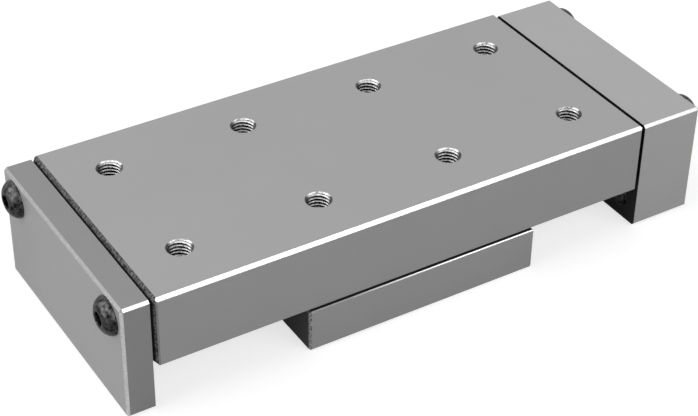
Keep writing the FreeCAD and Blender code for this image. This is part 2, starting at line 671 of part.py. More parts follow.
def way_screw(number):
    """Flat-head screw, put in from below, that holds the way to the table."""
    head, radius = "Sizes.flat_head_radius", "Sizes.small_thread_radius"
    cone = f"({head} - {radius}) / tan(Sizes.flat_head_half_angle)"
    length = "(Places.way_top + Sizes.way_screw_reach - Places.way_relief_top)"
    place = f"{number - (WAY_SCREWS - 1) / 2} * Places.way_screw_pitch"
    body = turned(f"way_screw_{number + 1}", [
        ("0", "0"),
        (head, "0"),
        (radius, f"-{cone}"),
        (radius, f"-{length}"),
        ("0", f"-{length}"),
    ], (f"Sizes.table_rest_x + {place}", "0", "Places.way_relief_top"), DOWNWARDS)
    socket(body, "0", "Sizes.small_socket_flats", "Sizes.screw_socket_depth")
    return body


def end_piece(label, end, thick, drop):
    """Plate or block across an end of the table, with its screw holes and blind dowel holes."""
    body = new_body(label, ("Sizes.table_rest_x", "0", "0"))
    inner = f"{end} * Places.end_face_x"
    outer = f"{end} * (Places.end_face_x + {thick})"
    half, low, top = "Places.end_half_width", "Sizes.end_clearance", f"Places.table_top - {drop}"
    section = sketch_on(body, "YZ_Plane", {"z": inner})
    outline(section, [(f"-{half}", low), (half, low), (half, top), (f"-{half}", top)])
    pad(body, section, thick, reverse=(end == LEFT))
    inner_face = ("X", "Max" if end == LEFT else "Min")
    chamfer(body, rim_edges(body, kept_off=inner_face), "Sizes.end_chamfer")
    for row in (FRONT, BACK):
        drill(body, "XY_Plane", "H_Axis",
              {"y": f"{row} * Places.end_screw_y", "z": "Places.end_screw_z"},
              plain_steps(inner, outer, "Sizes.end_screw_radius + Sizes.screw_bore_gap"))
        drill(body, "XY_Plane", "H_Axis",
              {"y": f"{row} * Places.dowel_y", "z": "Places.dowel_z"},
              plain_steps(inner, f"{inner} + {end} * (Sizes.dowel_in_plate + Sizes.dowel_end_room)",
                          "Sizes.dowel_radius + Sizes.dowel_gap"))
    return body


def left_end_plate():
    """Thin end plate, with a pocket for each bumper."""
    body = end_piece("left_end_plate", LEFT, "Sizes.left_plate_thick", "Sizes.left_plate_drop")
    inner = f"{LEFT} * Places.end_face_x"
    for row in (FRONT, BACK):
        drill(body, "XY_Plane", "H_Axis",
              {"y": f"{row} * Places.stop_y", "z": "Sizes.stop_height"},
              plain_steps(inner, f"{inner} - Sizes.bumper_seat_depth",
                          "Sizes.bumper_radius + Sizes.bumper_gap"))
    return body


def right_end_block():
    """Thick end block, with a thread right through it for each stop screw."""
    body = end_piece("right_end_block", RIGHT, "Sizes.right_block_thick", "Sizes.right_block_drop")
    for row in (FRONT, BACK):
        drill(body, "XY_Plane", "H_Axis",
              {"y": f"{row} * Places.stop_y", "z": "Sizes.stop_height"},
              plain_steps("Places.end_face_x", "Places.end_face_x + Sizes.right_block_thick",
                          "Sizes.tapped_radius + Sizes.thread_gap"))
    return body


def end_screw(end, row, thick):
    """Button-head screw through an end piece into the table."""
    radius, head, top = "Sizes.end_screw_radius", "Sizes.button_radius", "Sizes.button_height"
    reach = f"({thick} + Sizes.end_screw_reach)"
    edge = "Sizes.small_edge"
    dome_side = 5
    at = (
        f"Sizes.table_rest_x + {end} * (Places.end_face_x + {thick})",
        f"{row} * Places.end_screw_y",
        "Places.end_screw_z",
    )
    body = turned(f"{END_NAMES[end]}_end_screw_{SIDE_NAMES[row]}", [
        ("0", f"-{reach}"),
        (f"{radius} - {edge}", f"-{reach}"),
        (radius, f"{edge} - {reach}"),
        (radius, "0"),
        (head, "0"),
        (head, "Sizes.button_rim"),
        ("Sizes.button_flat_radius", top),
        ("0", top),
    ], at, ALONG_X if end == RIGHT else AGAINST_X, {dome_side: "Sizes.button_dome_radius"})
    socket(body, top, "Sizes.button_socket_flats", "Sizes.screw_socket_depth")
    return body


def dowel(end, row):
    """Dowel that keeps an end piece from shifting on the table."""
    length = "(Sizes.dowel_in_plate + Sizes.dowel_in_table)"
    middle = f"{end} * (Places.end_face_x + (Sizes.dowel_in_plate - Sizes.dowel_in_table) / 2)"
    pin = doc.addObject("Part::Cylinder", f"{END_NAMES[end]}_dowel_{SIDE_NAMES[row]}")
    pin.Label = f"{END_NAMES[end]}_dowel_{SIDE_NAMES[row]}"
    pin.Placement = FreeCAD.Placement(FreeCAD.Vector(0, 0, 0), ALONG_X)
    pin.setExpression("Radius", "Sizes.dowel_radius")
    pin.setExpression("Height", length)
    pin.setExpression("Placement.Base.x", f"Sizes.table_rest_x + {middle} - {length} / 2")
    pin.setExpression("Placement.Base.y", f"{row} * Places.dowel_y")
    pin.setExpression("Placement.Base.z", "Places.dowel_z")
    return pin


def soft_stud(label, end, row, seat, radius):
    """Soft round stud that sits in a pocket and stands a little out of an end piece's inner face."""
    front, edge = "Sizes.stop_proud", "Sizes.small_edge"
    at = (
        f"Sizes.table_rest_x + {end} * Places.end_face_x",
        f"{row} * Places.stop_y",
        "Sizes.stop_height",
    )
    return turned(label, [
        ("0", f"-({seat})"),
        (radius, f"-({seat})"),
        (radius, f"{front} - {edge}"),
        (f"{radius} - {edge}", front),
        ("0", front),
    ], at, AGAINST_X if end == RIGHT else ALONG_X)


def stop_screw(row):
    """Set screw in the right end block that carries a stop tip in its nose."""
    radius, length, edge = "Sizes.tapped_radius", "Sizes.stop_screw_length", "Sizes.small_edge"
    tip = "Sizes.stop_tip_radius + Sizes.bumper_gap"
    at = (
        "Sizes.table_rest_x + Places.end_face_x + Sizes.stop_screw_recess",
        f"{row} * Places.stop_y",
        "Sizes.stop_height",
    )
    body = turned(f"stop_screw_{SIDE_NAMES[row]}", [
        ("0", "Sizes.stop_tip_depth"),
        (tip, "Sizes.stop_tip_depth"),
        (tip, "0"),
        (f"{radius} - {edge}", "0"),
        (radius, edge),
        (radius, f"{length} - {edge}"),
        (f"{radius} - {edge}", length),
        ("0", length),
    ], at, ALONG_X)
    socket(body, length, "Sizes.stop_socket_flats", "Sizes.screw_socket_depth")
    return body


def build_saddle():
    """Everything that stays with the saddle."""
    pieces = [saddle_block(), flank_liner(), gib()]
    pieces += [floor_liner(side) for side in (FRONT, BACK)]
    for end in (LEFT, RIGHT):
        pieces += [gib_screw(end), gib_nut(end)]
    return pieces + [lock_plug(), lock_screw()]


def build_table():
    """Everything that moves with the table."""
    pieces = [table_plate(), dovetail_way(), left_end_plate(), right_end_block()]
    pieces += [way_screw(number) for number in range(WAY_SCREWS)]
    for row in (FRONT, BACK):
        name = SIDE_NAMES[row]
        pieces.append(end_screw(LEFT, row, "Sizes.left_plate_thick"))
        pieces.append(end_screw(RIGHT, row, "Sizes.right_block_thick"))
        pieces += [dowel(LEFT, row), dowel(RIGHT, row), stop_screw(row)]
        pieces.append(soft_stud(
            f"bumper_{name}", LEFT, row, "Sizes.bumper_seat_depth", "Sizes.bumper_radius"))
        pieces.append(soft_stud(
            f"stop_tip_{name}", RIGHT, row,
            "Sizes.stop_tip_depth - Sizes.stop_screw_recess", "Sizes.stop_tip_radius"))
    return pieces


def check_and_write(pieces):
    """Stop on any failed object, then write each piece to a file of its own name."""
    doc.recompute()
    for item in doc.Objects:
        if "Invalid" in item.State or "Error" in item.State:
            raise ValueError(f"{item.Label} failed")
    for piece in pieces:
        if piece.Shape.isNull() or not piece.Shape.isValid():
            raise ValueError(f"{piece.Label} has no valid shape")
        if len(piece.Shape.Solids) != 1:
            raise ValueError(f"{piece.Label} is not one solid")
    os.makedirs("parts", exist_ok=True)
    for piece in pieces:
        piece.Shape.exportStep(f"parts/{piece.Label}.step")
        print(f"{piece.Label:24s} {piece.Shape.Volume:10.2f} mm3")


check_and_write(build_saddle() + build_table())
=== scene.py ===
# %% [markdown]
# # A small dovetail slide, dressed for its portrait
# The slide is a stack of plain blocks: a long table, a plate and a thicker block across its ends, and a short
# saddle underneath that holds the dovetail channel. The construction comes ready as a frame of solids in
# metres. This script gives every piece its finish, cuts the threads and the knurl, and sets the camera and
# the lamps. It starts by loading the frame, with a helper that reads the box that a solid fills.

# %% Load the frame of solids
import json
import math

import bpy
from mathutils import Matrix, Vector


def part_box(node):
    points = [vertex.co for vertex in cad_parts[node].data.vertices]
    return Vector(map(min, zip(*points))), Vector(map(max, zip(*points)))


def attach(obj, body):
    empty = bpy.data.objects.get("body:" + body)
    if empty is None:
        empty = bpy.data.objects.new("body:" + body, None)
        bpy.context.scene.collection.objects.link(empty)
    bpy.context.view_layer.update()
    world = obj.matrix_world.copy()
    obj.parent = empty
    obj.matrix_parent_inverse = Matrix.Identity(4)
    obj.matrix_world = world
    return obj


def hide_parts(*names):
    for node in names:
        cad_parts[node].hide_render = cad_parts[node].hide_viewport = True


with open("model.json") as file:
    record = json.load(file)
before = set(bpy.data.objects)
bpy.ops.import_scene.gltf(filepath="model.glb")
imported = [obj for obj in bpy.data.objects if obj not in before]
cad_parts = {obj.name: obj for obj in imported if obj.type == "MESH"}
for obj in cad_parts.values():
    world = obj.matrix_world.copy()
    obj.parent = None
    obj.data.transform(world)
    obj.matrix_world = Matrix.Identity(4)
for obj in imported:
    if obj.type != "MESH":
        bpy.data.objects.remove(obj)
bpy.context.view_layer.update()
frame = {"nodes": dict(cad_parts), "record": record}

MM = 0.001
nodes = frame["nodes"]
print("nodes in the frame:", len(nodes))

# %% [markdown]
# ## Short words for node trees
# Shader trees and Geometry Nodes trees are built from the same few moves: add a node, give its inputs plain
# values or join them to another node's output, and pass the output on. A helper that takes the inputs by name
# or number keeps each material and each tree short enough to read as a recipe.

# %% Add a node


def add(tree, kind, inputs=None, **settings):
    """A new node: settings are its own options, inputs are plain values or other nodes' outputs."""
    node = tree.nodes.new(kind)
    for name, value in settings.items():
        setattr(node, name, value)
    for key, value in (inputs or {}).items():
        if isinstance(value, bpy.types.NodeSocket):
            tree.links.new(value, node.inputs[key])
        else:
            node.inputs[key].default_value = value
    return node


print("helper ready:", add.__name__)

# %% Numbers, vectors and masks


def sum_up(tree, operation, first, second=0.0, third=0.0):
    """The output of one Math node."""
    node = add(tree, "ShaderNodeMath", {0: first, 1: second, 2: third}, operation=operation)
    return node.outputs[0]


def times(tree, first, second):
    """The product of two values, or of a value and a mask."""
    return sum_up(tree, "MULTIPLY", first, second)


def vector_sum(tree, operation, first, second=(0.0, 0.0, 0.0)):
    """The vector output of one Vector Math node."""
    node = add(tree, "ShaderNodeVectorMath", {0: first, 1: second}, operation=operation)
    return node.outputs[0]


def ramp_between(tree, value, low, high, low_out=0.0, high_out=1.0):
    """A value that runs evenly from low_out to high_out while its source runs from low to high."""
    inputs = {"Value": value, 1: low, 2: high, 3: low_out, 4: high_out}
    return add(tree, "ShaderNodeMapRange", inputs, clamp=True).outputs[0]


print("helpers ready:", ", ".join(word.__name__ for word in (sum_up, times, vector_sum, ramp_between)))

# %% Mixes, noise and greys


def blend_numbers(tree, share, first, second):
    """A number between two others."""
    return add(tree, "ShaderNodeMix", {0: share, 2: first, 3: second}, data_type="FLOAT").outputs[0]


def blend_colours(tree, share, first, second):
    """A colour between two others."""
    return add(tree, "ShaderNodeMix", {0: share, 6: first, 7: second}, data_type="RGBA").outputs[2]


def between(tree, value, low, high):
    """1 while a value is between two others."""
    above = sum_up(tree, "GREATER_THAN", value, low)
    return times(tree, above, sum_up(tree, "LESS_THAN", value, high))


def noise(tree, place, scale, detail, roughness=0.5):
    """A noise value between 0 and 1, with patches of about one over the scale in metres."""
    inputs = {"Vector": place, "Scale": scale, "Detail": detail, "Roughness": roughness}
    return add(tree, "ShaderNodeTexNoise", inputs).outputs[0]


def grey(tone):
    """Neutral colour of a given brightness."""
    return (tone, tone, tone, 1.0)


def grey_from(tree, tone):
    """Neutral colour whose brightness another node gives."""
    return add(tree, "ShaderNodeCombineColor", {0: tone, 1: tone, 2: tone}).outputs[0]


print("a middle grey:", grey(0.5))

# %% Node groups with named inputs


def new_group(name, kind, inputs, outputs):
    """An empty node group with named inputs (name, socket type, value) and outputs (name, socket type)."""
    group = bpy.data.node_groups.new(name, kind)
    for label, socket_type, value in inputs:
        socket = group.interface.new_socket(name=label, in_out="INPUT", socket_type=socket_type)
        if value is not None:
            socket.default_value = value
    for label, socket_type in outputs:
        group.interface.new_socket(name=label, in_out="OUTPUT", socket_type=socket_type)
    source = group.nodes.new("NodeGroupInput")
    sink = group.nodes.new("NodeGroupOutput")
    return group, source.outputs, sink.inputs


FLOAT, VECTOR = "NodeSocketFloat", "NodeSocketVector"
print("sockets used most:", FLOAT, "and", VECTOR)

# %% [markdown]
# ## Effects that several finishes share
# Ground metal is never one even grey. The wheel leaves fine lines along its stroke, the tone drifts a little
# from place to place, and every sharp edge is rubbed bright. A filed or drilled face is mottled, and the wall
# of a turned hole gets a painted sheen: light painted on it everywhere but in two opposite sectors, where
# shade is painted. Each effect is a group of its own that gives out only masks and values, so each material
# can use it at its own strength.

# %% Chamfer mask as a node group
SLOPED = 0.35  # just under the 0.5 that the product of two equal parts of a normal reaches at 45 degrees


def chamfer_mask_group():
    """1 where the surface slopes at 45 degrees between two of the object's axes, 0 on flat faces."""
    group, inside, out = new_group(
        "chamfer_mask", "ShaderNodeTree", [("Normal", VECTOR, (0.0, 0.0, 1.0))],
        [("Long", FLOAT), ("Across", FLOAT)])
    parts = add(group, "ShaderNodeSeparateXYZ", {0: inside["Normal"]}).outputs
    slope_yz, slope_xz, slope_xy = [
        sum_up(group, "ABSOLUTE", times(group, parts[first], parts[second]))
        for first, second in ("YZ", "XZ", "XY")]
    across = sum_up(group, "MAXIMUM", slope_xz, slope_xy)
    group.links.new(sum_up(group, "GREATER_THAN", slope_yz, SLOPED), out["Long"])
    group.links.new(sum_up(group, "GREATER_THAN", across, SLOPED), out["Across"])
    return group


CHAMFER_MASK = chamfer_mask_group()
print("group:", CHAMFER_MASK.name)

# %% Grinding lines as a node group


def grain_group():
    """Grinding lines along one axis, with a slow drift of tone over the whole face."""
    group, inside, out = new_group(
        "ground_grain", "ShaderNodeTree",
        [("Position", VECTOR, (0.0, 0.0, 0.0)), ("Stretch", VECTOR, (0.03, 1.0, 1.0)),
         ("Line scale", FLOAT, 6000.0), ("Drift scale", FLOAT, 45.0)],
        [("Lines", FLOAT), ("Drift", FLOAT)])
    stretched = vector_sum(group, "MULTIPLY", inside["Position"], inside["Stretch"])
    group.links.new(noise(group, stretched, inside["Line scale"], 3.0, 0.6), out["Lines"])
    group.links.new(noise(group, inside["Position"], inside["Drift scale"], 2.0), out["Drift"])
    return group


GRAIN = grain_group()
print("group:", GRAIN.name)

# %% Edge wear as a node group
WORN_BAND = 0.05 * MM
WORN_COSINES, WORN_PATCHES = (0.995, 0.9), (0.35, 0.6)


def edge_wear_group():
    """1 on a thin band along sharp edges, broken up by a fine noise."""
    group, inside, out = new_group(
        "edge_wear", "ShaderNodeTree",
        [("Position", VECTOR, (0.0, 0.0, 0.0)), ("Patch scale", FLOAT, 900.0)], [("Worn", FLOAT)])
    rounded = add(group, "ShaderNodeBevel", {"Radius": WORN_BAND}, samples=4).outputs[0]
    true_normal = add(group, "ShaderNodeNewGeometry").outputs["Normal"]
    cosine = add(group, "ShaderNodeVectorMath", {0: rounded, 1: true_normal}, operation="DOT_PRODUCT")
    turned_away = ramp_between(group, cosine.outputs["Value"], *WORN_COSINES)
    kept = ramp_between(group, noise(group, inside["Position"], inside["Patch scale"], 2.0), *WORN_PATCHES)
    group.links.new(times(group, turned_away, kept), out["Worn"])
    return group


EDGE_WEAR = edge_wear_group()
print("group:", EDGE_WEAR.name)

# %% Mottle and painted sheen as node groups
MOTTLE_BAND = (0.38, 0.66)
SHEEN_FALLS, LEAST_SHEEN = (0.72, 0.95), 0.1


def mottle_group():
    """A patchy tone between a low and a high one."""
    group, inside, out = new_group(
        "mottle", "ShaderNodeTree",
        [("Position", VECTOR, (0.0, 0.0, 0.0)), ("Patch scale", FLOAT, 2500.0), ("Low", FLOAT, 0.0),
         ("High", FLOAT, 1.0)], [("Tone", FLOAT)])
    patches = noise(group, inside["Position"], inside["Patch scale"], 3.0, 0.7)
    tone = ramp_between(group, patches, *MOTTLE_BAND, inside["Low"], inside["High"])
    group.links.new(tone, out["Tone"])
    return group


def painted_sheen_group():
    """Painted sheen on a turned wall: little painted light in the two opposite sectors that face the dark
    way, else 1.
    """
    group, inside, out = new_group(
        "painted_sheen", "ShaderNodeTree",
        [("Normal", VECTOR, (0.0, 0.0, 1.0)), ("Dark way", VECTOR, (1.0, 0.0, 0.0))], [("Sheen", FLOAT)])
    level = vector_sum(group, "NORMALIZE", vector_sum(group, "MULTIPLY", inside["Normal"], (1.0, 1.0, 0.0)))
    aside = add(group, "ShaderNodeVectorMath", {0: level, 1: inside["Dark way"]}, operation="DOT_PRODUCT")
    turned_away = sum_up(group, "ABSOLUTE", aside.outputs["Value"])
    group.links.new(ramp_between(group, turned_away, *SHEEN_FALLS, 1.0, LEAST_SHEEN), out["Sheen"])
    return group


MOTTLE, PAINTED_SHEEN = mottle_group(), painted_sheen_group()
print("groups:", MOTTLE.name, "and", PAINTED_SHEEN.name)

# %% [markdown]
# ## A material starts as a Principled shader and a place to read from
# The pattern of a finish has to stay on its piece when the piece slides, so every pattern reads the object's
# own coordinates. Values that are the same all over a piece stand on the shader's own sockets.

# %% Start of every material


def start_material(name, **sockets):
    """A material whose Principled shader has these plain values, with its object coordinates."""
    material = bpy.data.materials.new(name)
    material.use_nodes = True
    tree = material.node_tree
    shader = tree.nodes["Principled BSDF"]
    for key, value in sockets.items():
        shader.inputs[key.replace("_", " ")].default_value = value
    place = add(tree, "ShaderNodeTexCoord").outputs
    return material, tree, shader, place


def use_group(tree, group, inputs):
    """The outputs of a shared group placed in a material."""
    return add(tree, "ShaderNodeGroup", inputs, node_tree=group).outputs


print("materials before the finishes:", len(bpy.data.materials))

# %% Words for mottle, painted sheen, relief and tint
# painted shade: turned walls darken in the two sectors that face this way, and get painted light elsewhere
PAINTED_DARK_SECTORS = (0.85, -0.53, 0.0)


def mottled(tree, object_place, scale, low, high):
    """A patchy tone between two others."""
    inputs = {"Position": object_place, "Patch scale": scale, "Low": low, "High": high}
    return use_group(tree, MOTTLE, inputs)["Tone"]


def painted_sheen(tree, normal):
    """Painted sheen on the wall of a turned hole: painted light, and painted shade in two opposite sectors.
    """
    return use_group(tree, PAINTED_SHEEN, {"Normal": normal, "Dark way": PAINTED_DARK_SECTORS})["Sheen"]


def relief(tree, shader, height, depth, strength=1.0):
    """Fine relief on a surface from a height between 0 and 1, as deep as stated in metres."""
    bump = add(tree, "ShaderNodeBump", {"Height": height, "Distance": depth, "Strength": strength})
    tree.links.new(bump.outputs[0], shader.inputs["Normal"])


def tint(tree, tone, share_of_lines, lines, share_of_drift, drift):
    """A tone that the grain lines and the slow drift shift a little up and down."""
    shift = sum_up(tree, "MULTIPLY_ADD", lines, share_of_lines, 1.0 - share_of_lines / 2)
    drifted = sum_up(tree, "MULTIPLY_ADD", drift, share_of_drift, 1.0 - share_of_drift / 2)
    return times(tree, times(tree, shift, drifted), tone)


print("turned walls are dark towards", PAINTED_DARK_SECTORS, "and away from it")

# %% [markdown]
# ## Ground aluminium
# The four blocks are aluminium, ground on the faces that show and left a dull satin, and the ways that their
# faces were ground differ. Each block has a tone for each way that its faces look, and these tones are partly
# painted light and shade: paler where a face looks towards the lamps, darker where it looks away or lies
# under the table. The ends that face another piece are nearly black, a painted shade between the parts. The
# long chamfers were cut last with a sharp cutter and are by far the brightest lines on the slide; along the
# saddle their tone is painted darker towards the left end, a painted shade. The table's end chamfers are dark
# and mottled, partly a filed finish and partly painted shade, and painted black next to the gap to the end
# piece.
# One recipe makes all four blocks from a short list of tones. It is built in layers, a cell for each: the
# faces, the chamfers, the filed ends and the walls of the holes.

# %% Tone of a face by the way that it looks, partly painted light and shade
SQUARE_ON = 0.8  # share of a normal along an axis from which its face counts as square to that axis
FACES = (("top", "Z", "GREATER_THAN", SQUARE_ON), ("under", "Z", "LESS_THAN", -SQUARE_ON),
         ("left", "X", "LESS_THAN", -SQUARE_ON), ("right", "X", "GREATER_THAN", SQUARE_ON))


def face_tone_and_shade(tree, facing, tones):
    """Tone of the face that a point lies on, partly painted light and shade: top, underside, left, right, or
    else front or back.
    """
    tone = tones["front"]
    for name, axis, comparison, limit in FACES:
        share = sum_up(tree, comparison, facing[axis], limit)
        tone = blend_numbers(tree, share, tone, tones[name])
    return tone


print("ways that a face can look:", [name for name, *_ in FACES] + ["front"])

# %% Tones of the chamfers, with painted light and shade
LONG_EDGES = 21.5 * MM
SHADE_START, SHADE_END = -15.0 * MM, 8.0 * MM
CORNER_PATCHES = 2500.0
LEANING = 0.5  # share of a normal along an axis from which a chamfer counts as leaning that way
CUT_LINES, CUT_DRIFT = 0.06, 0.03


def with_chamfers(tree, where, facing, slopes, object_place, grain, tones, face):
    """The face's tone, on a chamfer that chamfer's own with painted light and shade, and the mask of the long
    chamfers.
    """
    at_edge = sum_up(tree, "GREATER_THAN", sum_up(tree, "ABSOLUTE", where["Y"]), LONG_EDGES)
    long_cut = times(tree, slopes["Long"], at_edge)
    # painted shade: a long chamfer's tone runs from its left-end value to its right-end value, darker at the
    # saddle's left end
    cut_now = ramp_between(tree, where["X"], SHADE_START, SHADE_END, *tones["cut"])
    cut = tint(tree, cut_now, CUT_LINES, grain["Lines"], CUT_DRIFT, grain["Drift"])
    sloped = mottled(tree, object_place, CORNER_PATCHES, *tones["sloped"])
    upright = mottled(tree, object_place, CORNER_PATCHES, *tones["upright"])
    # painted light and shade: chamfers that lean upwards and upright ones get different mottled tones
    across = blend_numbers(tree, sum_up(tree, "GREATER_THAN", facing["Z"], LEANING), upright, sloped)
    tone = blend_numbers(tree, slopes["Across"], face, across)
    return long_cut, blend_numbers(tree, long_cut, tone, cut)


print("long chamfers lie beyond", LONG_EDGES / MM, "mm from the middle")

# %% Filed chamfers at the table's ends, with painted shade
END_CHAMFER, SIDE_REACH = 0.95 * MM, 0.65 * MM
FILED_PATCHES, FILED_AND_SHADED_TONES = 2300.0, (0.01, 0.2)
GAP_SHADE_START, GAP_SHADE_END, GAP_SHADE_TONE = 0.25 * MM, 0.4 * MM, 0.02


def shaded_filed_end(tree, where, facing, slopes, object_place, ends, tone):
    """An end chamfer, dark and mottled as filed and as painted shade, painted black within a hair of the gap,
    and narrower down the sides.
    """
    from_left = sum_up(tree, "SUBTRACT", where["X"], ends[0])
    from_right = sum_up(tree, "SUBTRACT", ends[1], where["X"])
    depth = sum_up(tree, "MINIMUM", from_left, from_right)
    on_side = sum_up(tree, "GREATER_THAN", sum_up(tree, "ABSOLUTE", facing["Y"]), LEANING)
    reach = blend_numbers(tree, on_side, END_CHAMFER, SIDE_REACH)
    mask = times(tree, sum_up(tree, "LESS_THAN", depth, reach), slopes["Across"])
    filed_and_shaded = mottled(tree, object_place, FILED_PATCHES, *FILED_AND_SHADED_TONES)
    # painted shade: the chamfer goes to black as it nears the gap to the end piece
    clear_of_gap = ramp_between(tree, depth, GAP_SHADE_START, GAP_SHADE_END, GAP_SHADE_TONE, 1.0)
    return mask, blend_numbers(tree, mask, tone, times(tree, filed_and_shaded, clear_of_gap))


print("filed tones run from", FILED_AND_SHADED_TONES[0], "to", FILED_AND_SHADED_TONES[1])

# %% Walls of drilled holes, with painted light and shade
DRILLED_PATCHES, DRILLED_AND_LIT_TONES = 1900.0, (0.25, 1.0)
BRIGHT_DOWN_TO, DARK_FROM, DEEP_SHADE = 0.85 * MM, 1.0 * MM, 0.03
HOLE_DEPTHS = (0.01 * MM, 10.0 * MM)


def hole_wall(tree, where, object_place, holes, sheen, tone):
    """The wall of a drilled hole: a painted highlight, bright and patchy, round the mouth, and painted shade
    further in.
    """
    mouth, inwards, along, across = holes
    depth = times(tree, sum_up(tree, "SUBTRACT", where["Z"], mouth), inwards)
    inside = between(tree, depth, *HOLE_DEPTHS)
    for value, limits in ((where["X"], along), (sum_up(tree, "ABSOLUTE", where["Y"]), across)):
        inside = times(tree, inside, between(tree, value, *limits))
    # painted highlight: a bright mottled tone round the mouth, partly the drilled finish, times the painted
    # sheen
    mouth_highlight = times(tree, mottled(tree, object_place, DRILLED_PATCHES, *DRILLED_AND_LIT_TONES), sheen)
    # painted shade: the wall darkens further into the hole
    lit = ramp_between(tree, depth, BRIGHT_DOWN_TO, DARK_FROM, 1.0, DEEP_SHADE)
    return inside, blend_numbers(tree, inside, tone, times(tree, mouth_highlight, lit))


print("hole walls are dark below", DARK_FROM / MM, "mm")

# %% The whole recipe for ground aluminium
ALONG_TRAVEL = (0.03, 1.0, 1.0)
ACROSS_TRAVEL = (1.0, 0.03, 1.0)
FACE_LINES, FACE_DRIFT = 0.10, 0.06
GRAIN_RELIEF = 0.004 * MM
NOISE_BAND = (0.3, 0.7)  # nearly all values of a noise lie between these two
ROUGH_GROUND, ROUGH_CUT, ROUGH_FILED, ROUGH_DRILLED = (0.40, 0.52), 0.22, 0.7, 0.35
WORN_TONE, WORN_SHARE = 0.6, 0.35


def ground_aluminium(name, tones, grain_way, ends=None, holes=None):
    """Ground aluminium: a tone for each way that a face looks, and its own for chamfers and hole walls, with
    painted light and shade in them.
    """
    material, tree, shader, place = start_material(name, Metallic=0.55, Specular_IOR_Level=0.35)
    grain = use_group(tree, GRAIN, {"Position": place["Object"], "Stretch": grain_way})
    slopes = use_group(tree, CHAMFER_MASK, {"Normal": place["Normal"]})
    worn = use_group(tree, EDGE_WEAR, {"Position": place["Object"]})["Worn"]
    where = add(tree, "ShaderNodeSeparateXYZ", {0: place["Object"]}).outputs
    facing = add(tree, "ShaderNodeSeparateXYZ", {0: place["Normal"]}).outputs
    face = tint(tree, face_tone_and_shade(tree, facing, tones), FACE_LINES, grain["Lines"], FACE_DRIFT, grain["Drift"])
    long_cut, tone_now = with_chamfers(tree, where, facing, slopes, place["Object"], grain, tones, face)
    roughness = ramp_between(tree, grain["Lines"], *NOISE_BAND, *ROUGH_GROUND)
    roughness = blend_numbers(tree, long_cut, roughness, ROUGH_CUT)
    if ends:
        filed_and_shaded, tone_now = shaded_filed_end(tree, where, facing, slopes, place["Object"], ends, tone_now)
        roughness = blend_numbers(tree, filed_and_shaded, roughness, ROUGH_FILED)
    tone_now = blend_numbers(tree, times(tree, worn, WORN_SHARE), tone_now, WORN_TONE)
    if holes:
        sheen = painted_sheen(tree, place["Normal"])
        inside, tone_now = hole_wall(tree, where, place["Object"], holes, sheen, tone_now)
        roughness = blend_numbers(tree, inside, roughness, ROUGH_DRILLED)
    tree.links.new(grey_from(tree, tone_now), shader.inputs["Base Color"])
    tree.links.new(roughness, shader.inputs["Roughness"])
    relief(tree, shader, grain["Lines"], GRAIN_RELIEF)
    return material


def dress(piece, material):
    """Gives a piece its one material."""
    piece.data.materials.clear()
    piece.data.materials.append(material)


print("roughness of the ground faces:", ROUGH_GROUND)

# %% [markdown]
# ## A tone for every face of the four blocks
# The tones are brightnesses between 0 and 1, one for each way that a face looks, and they carry painted light
# and shade. Then come the small chamfers that slope down to an end, the upright ones at the corners, and the
# long cut ones with a value for the left and the right end of the slide, where the saddle's darker left end
# is painted shade. The table and the saddle also have tapped holes, so their recipes are told where the
# mouths of the holes are.

# %% The four blocks and their tones
# painted shade: the near-black tone of end faces that face another piece, where they show between the parts
END_SHADE = 0.03
HOLE_MARGIN, HOLE_REACH, BASE_HOLES_FROM = 3.0 * MM, 21.0 * MM, 16.0 * MM
END_RIM = 0.25 * MM
table_low, table_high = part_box("table_plate")
table_ends = (table_low.x + END_RIM, table_high.x - END_RIM)
saddle_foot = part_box("saddle_block")[0].z
table_holes = (table_high.z, -1.0, (table_low.x + HOLE_MARGIN, table_high.x - HOLE_MARGIN),
               (-HOLE_REACH, HOLE_REACH))
saddle_holes = (saddle_foot, 1.0, (-HOLE_REACH, HOLE_REACH), (BASE_HOLES_FROM, HOLE_REACH))
# painted light and shade: each tone sets how bright a face looks under the lamps; the saddle's top and sides
# under the table are painted dark
table_tones = {"top": 0.365, "under": 0.34, "front": 0.34, "left": END_SHADE, "right": END_SHADE,
               "sloped": (0.24, 0.3), "upright": (0.24, 0.3), "cut": (0.6, 0.6)}
saddle_tones = {"top": 0.05, "under": 0.36, "front": 0.34, "left": 0.1, "right": 0.1,
                "sloped": (0.1, 0.6), "upright": (0.1, 0.6), "cut": (0.12, 0.6)}
plate_tones = {"top": 0.27, "under": 0.27, "front": 0.27, "left": 0.44, "right": END_SHADE,
               "sloped": (0.26, 0.34), "upright": (0.58, 0.8), "cut": (0.6, 0.6)}
block_tones = {"top": 0.41, "under": 0.38, "front": 0.42, "left": END_SHADE, "right": 0.42,
               "sloped": (0.42, 0.58), "upright": (0.42, 0.58), "cut": (0.6, 0.6)}
for node, finish, tones, grain_way, ends, holes in (
        ("table_plate", "table", table_tones, ALONG_TRAVEL, table_ends, table_holes),
        ("saddle_block", "saddle", saddle_tones, ALONG_TRAVEL, None, saddle_holes),
        ("left_end_plate", "plate", plate_tones, ACROSS_TRAVEL, None, None),
        ("right_end_block", "block", block_tones, ACROSS_TRAVEL, None, None)):
    dress(nodes[node], ground_aluminium(f"ground_aluminium_{finish}", tones, grain_way, ends, holes))
    print(f"{node}: {nodes[node].data.materials[0].name}")

# %% [markdown]
# ## Steel, bronze, brass and the soft pieces
# The screws are blackened steel: nearly black, a little glossy, and rubbed to a lighter grey on their rims.
# The way is ground steel, paler and smoother than the aluminium. Gib and plug are copper alloys, and the
# liners, bumpers and stop tips are plain plastics with only a faint texture. All of them are one recipe: two
# tones that a noise mixes, a roughness band, wear on the edges and a fine relief.

# %% Recipe for the other finishes
COLOUR_BAND = (0.35, 0.65)


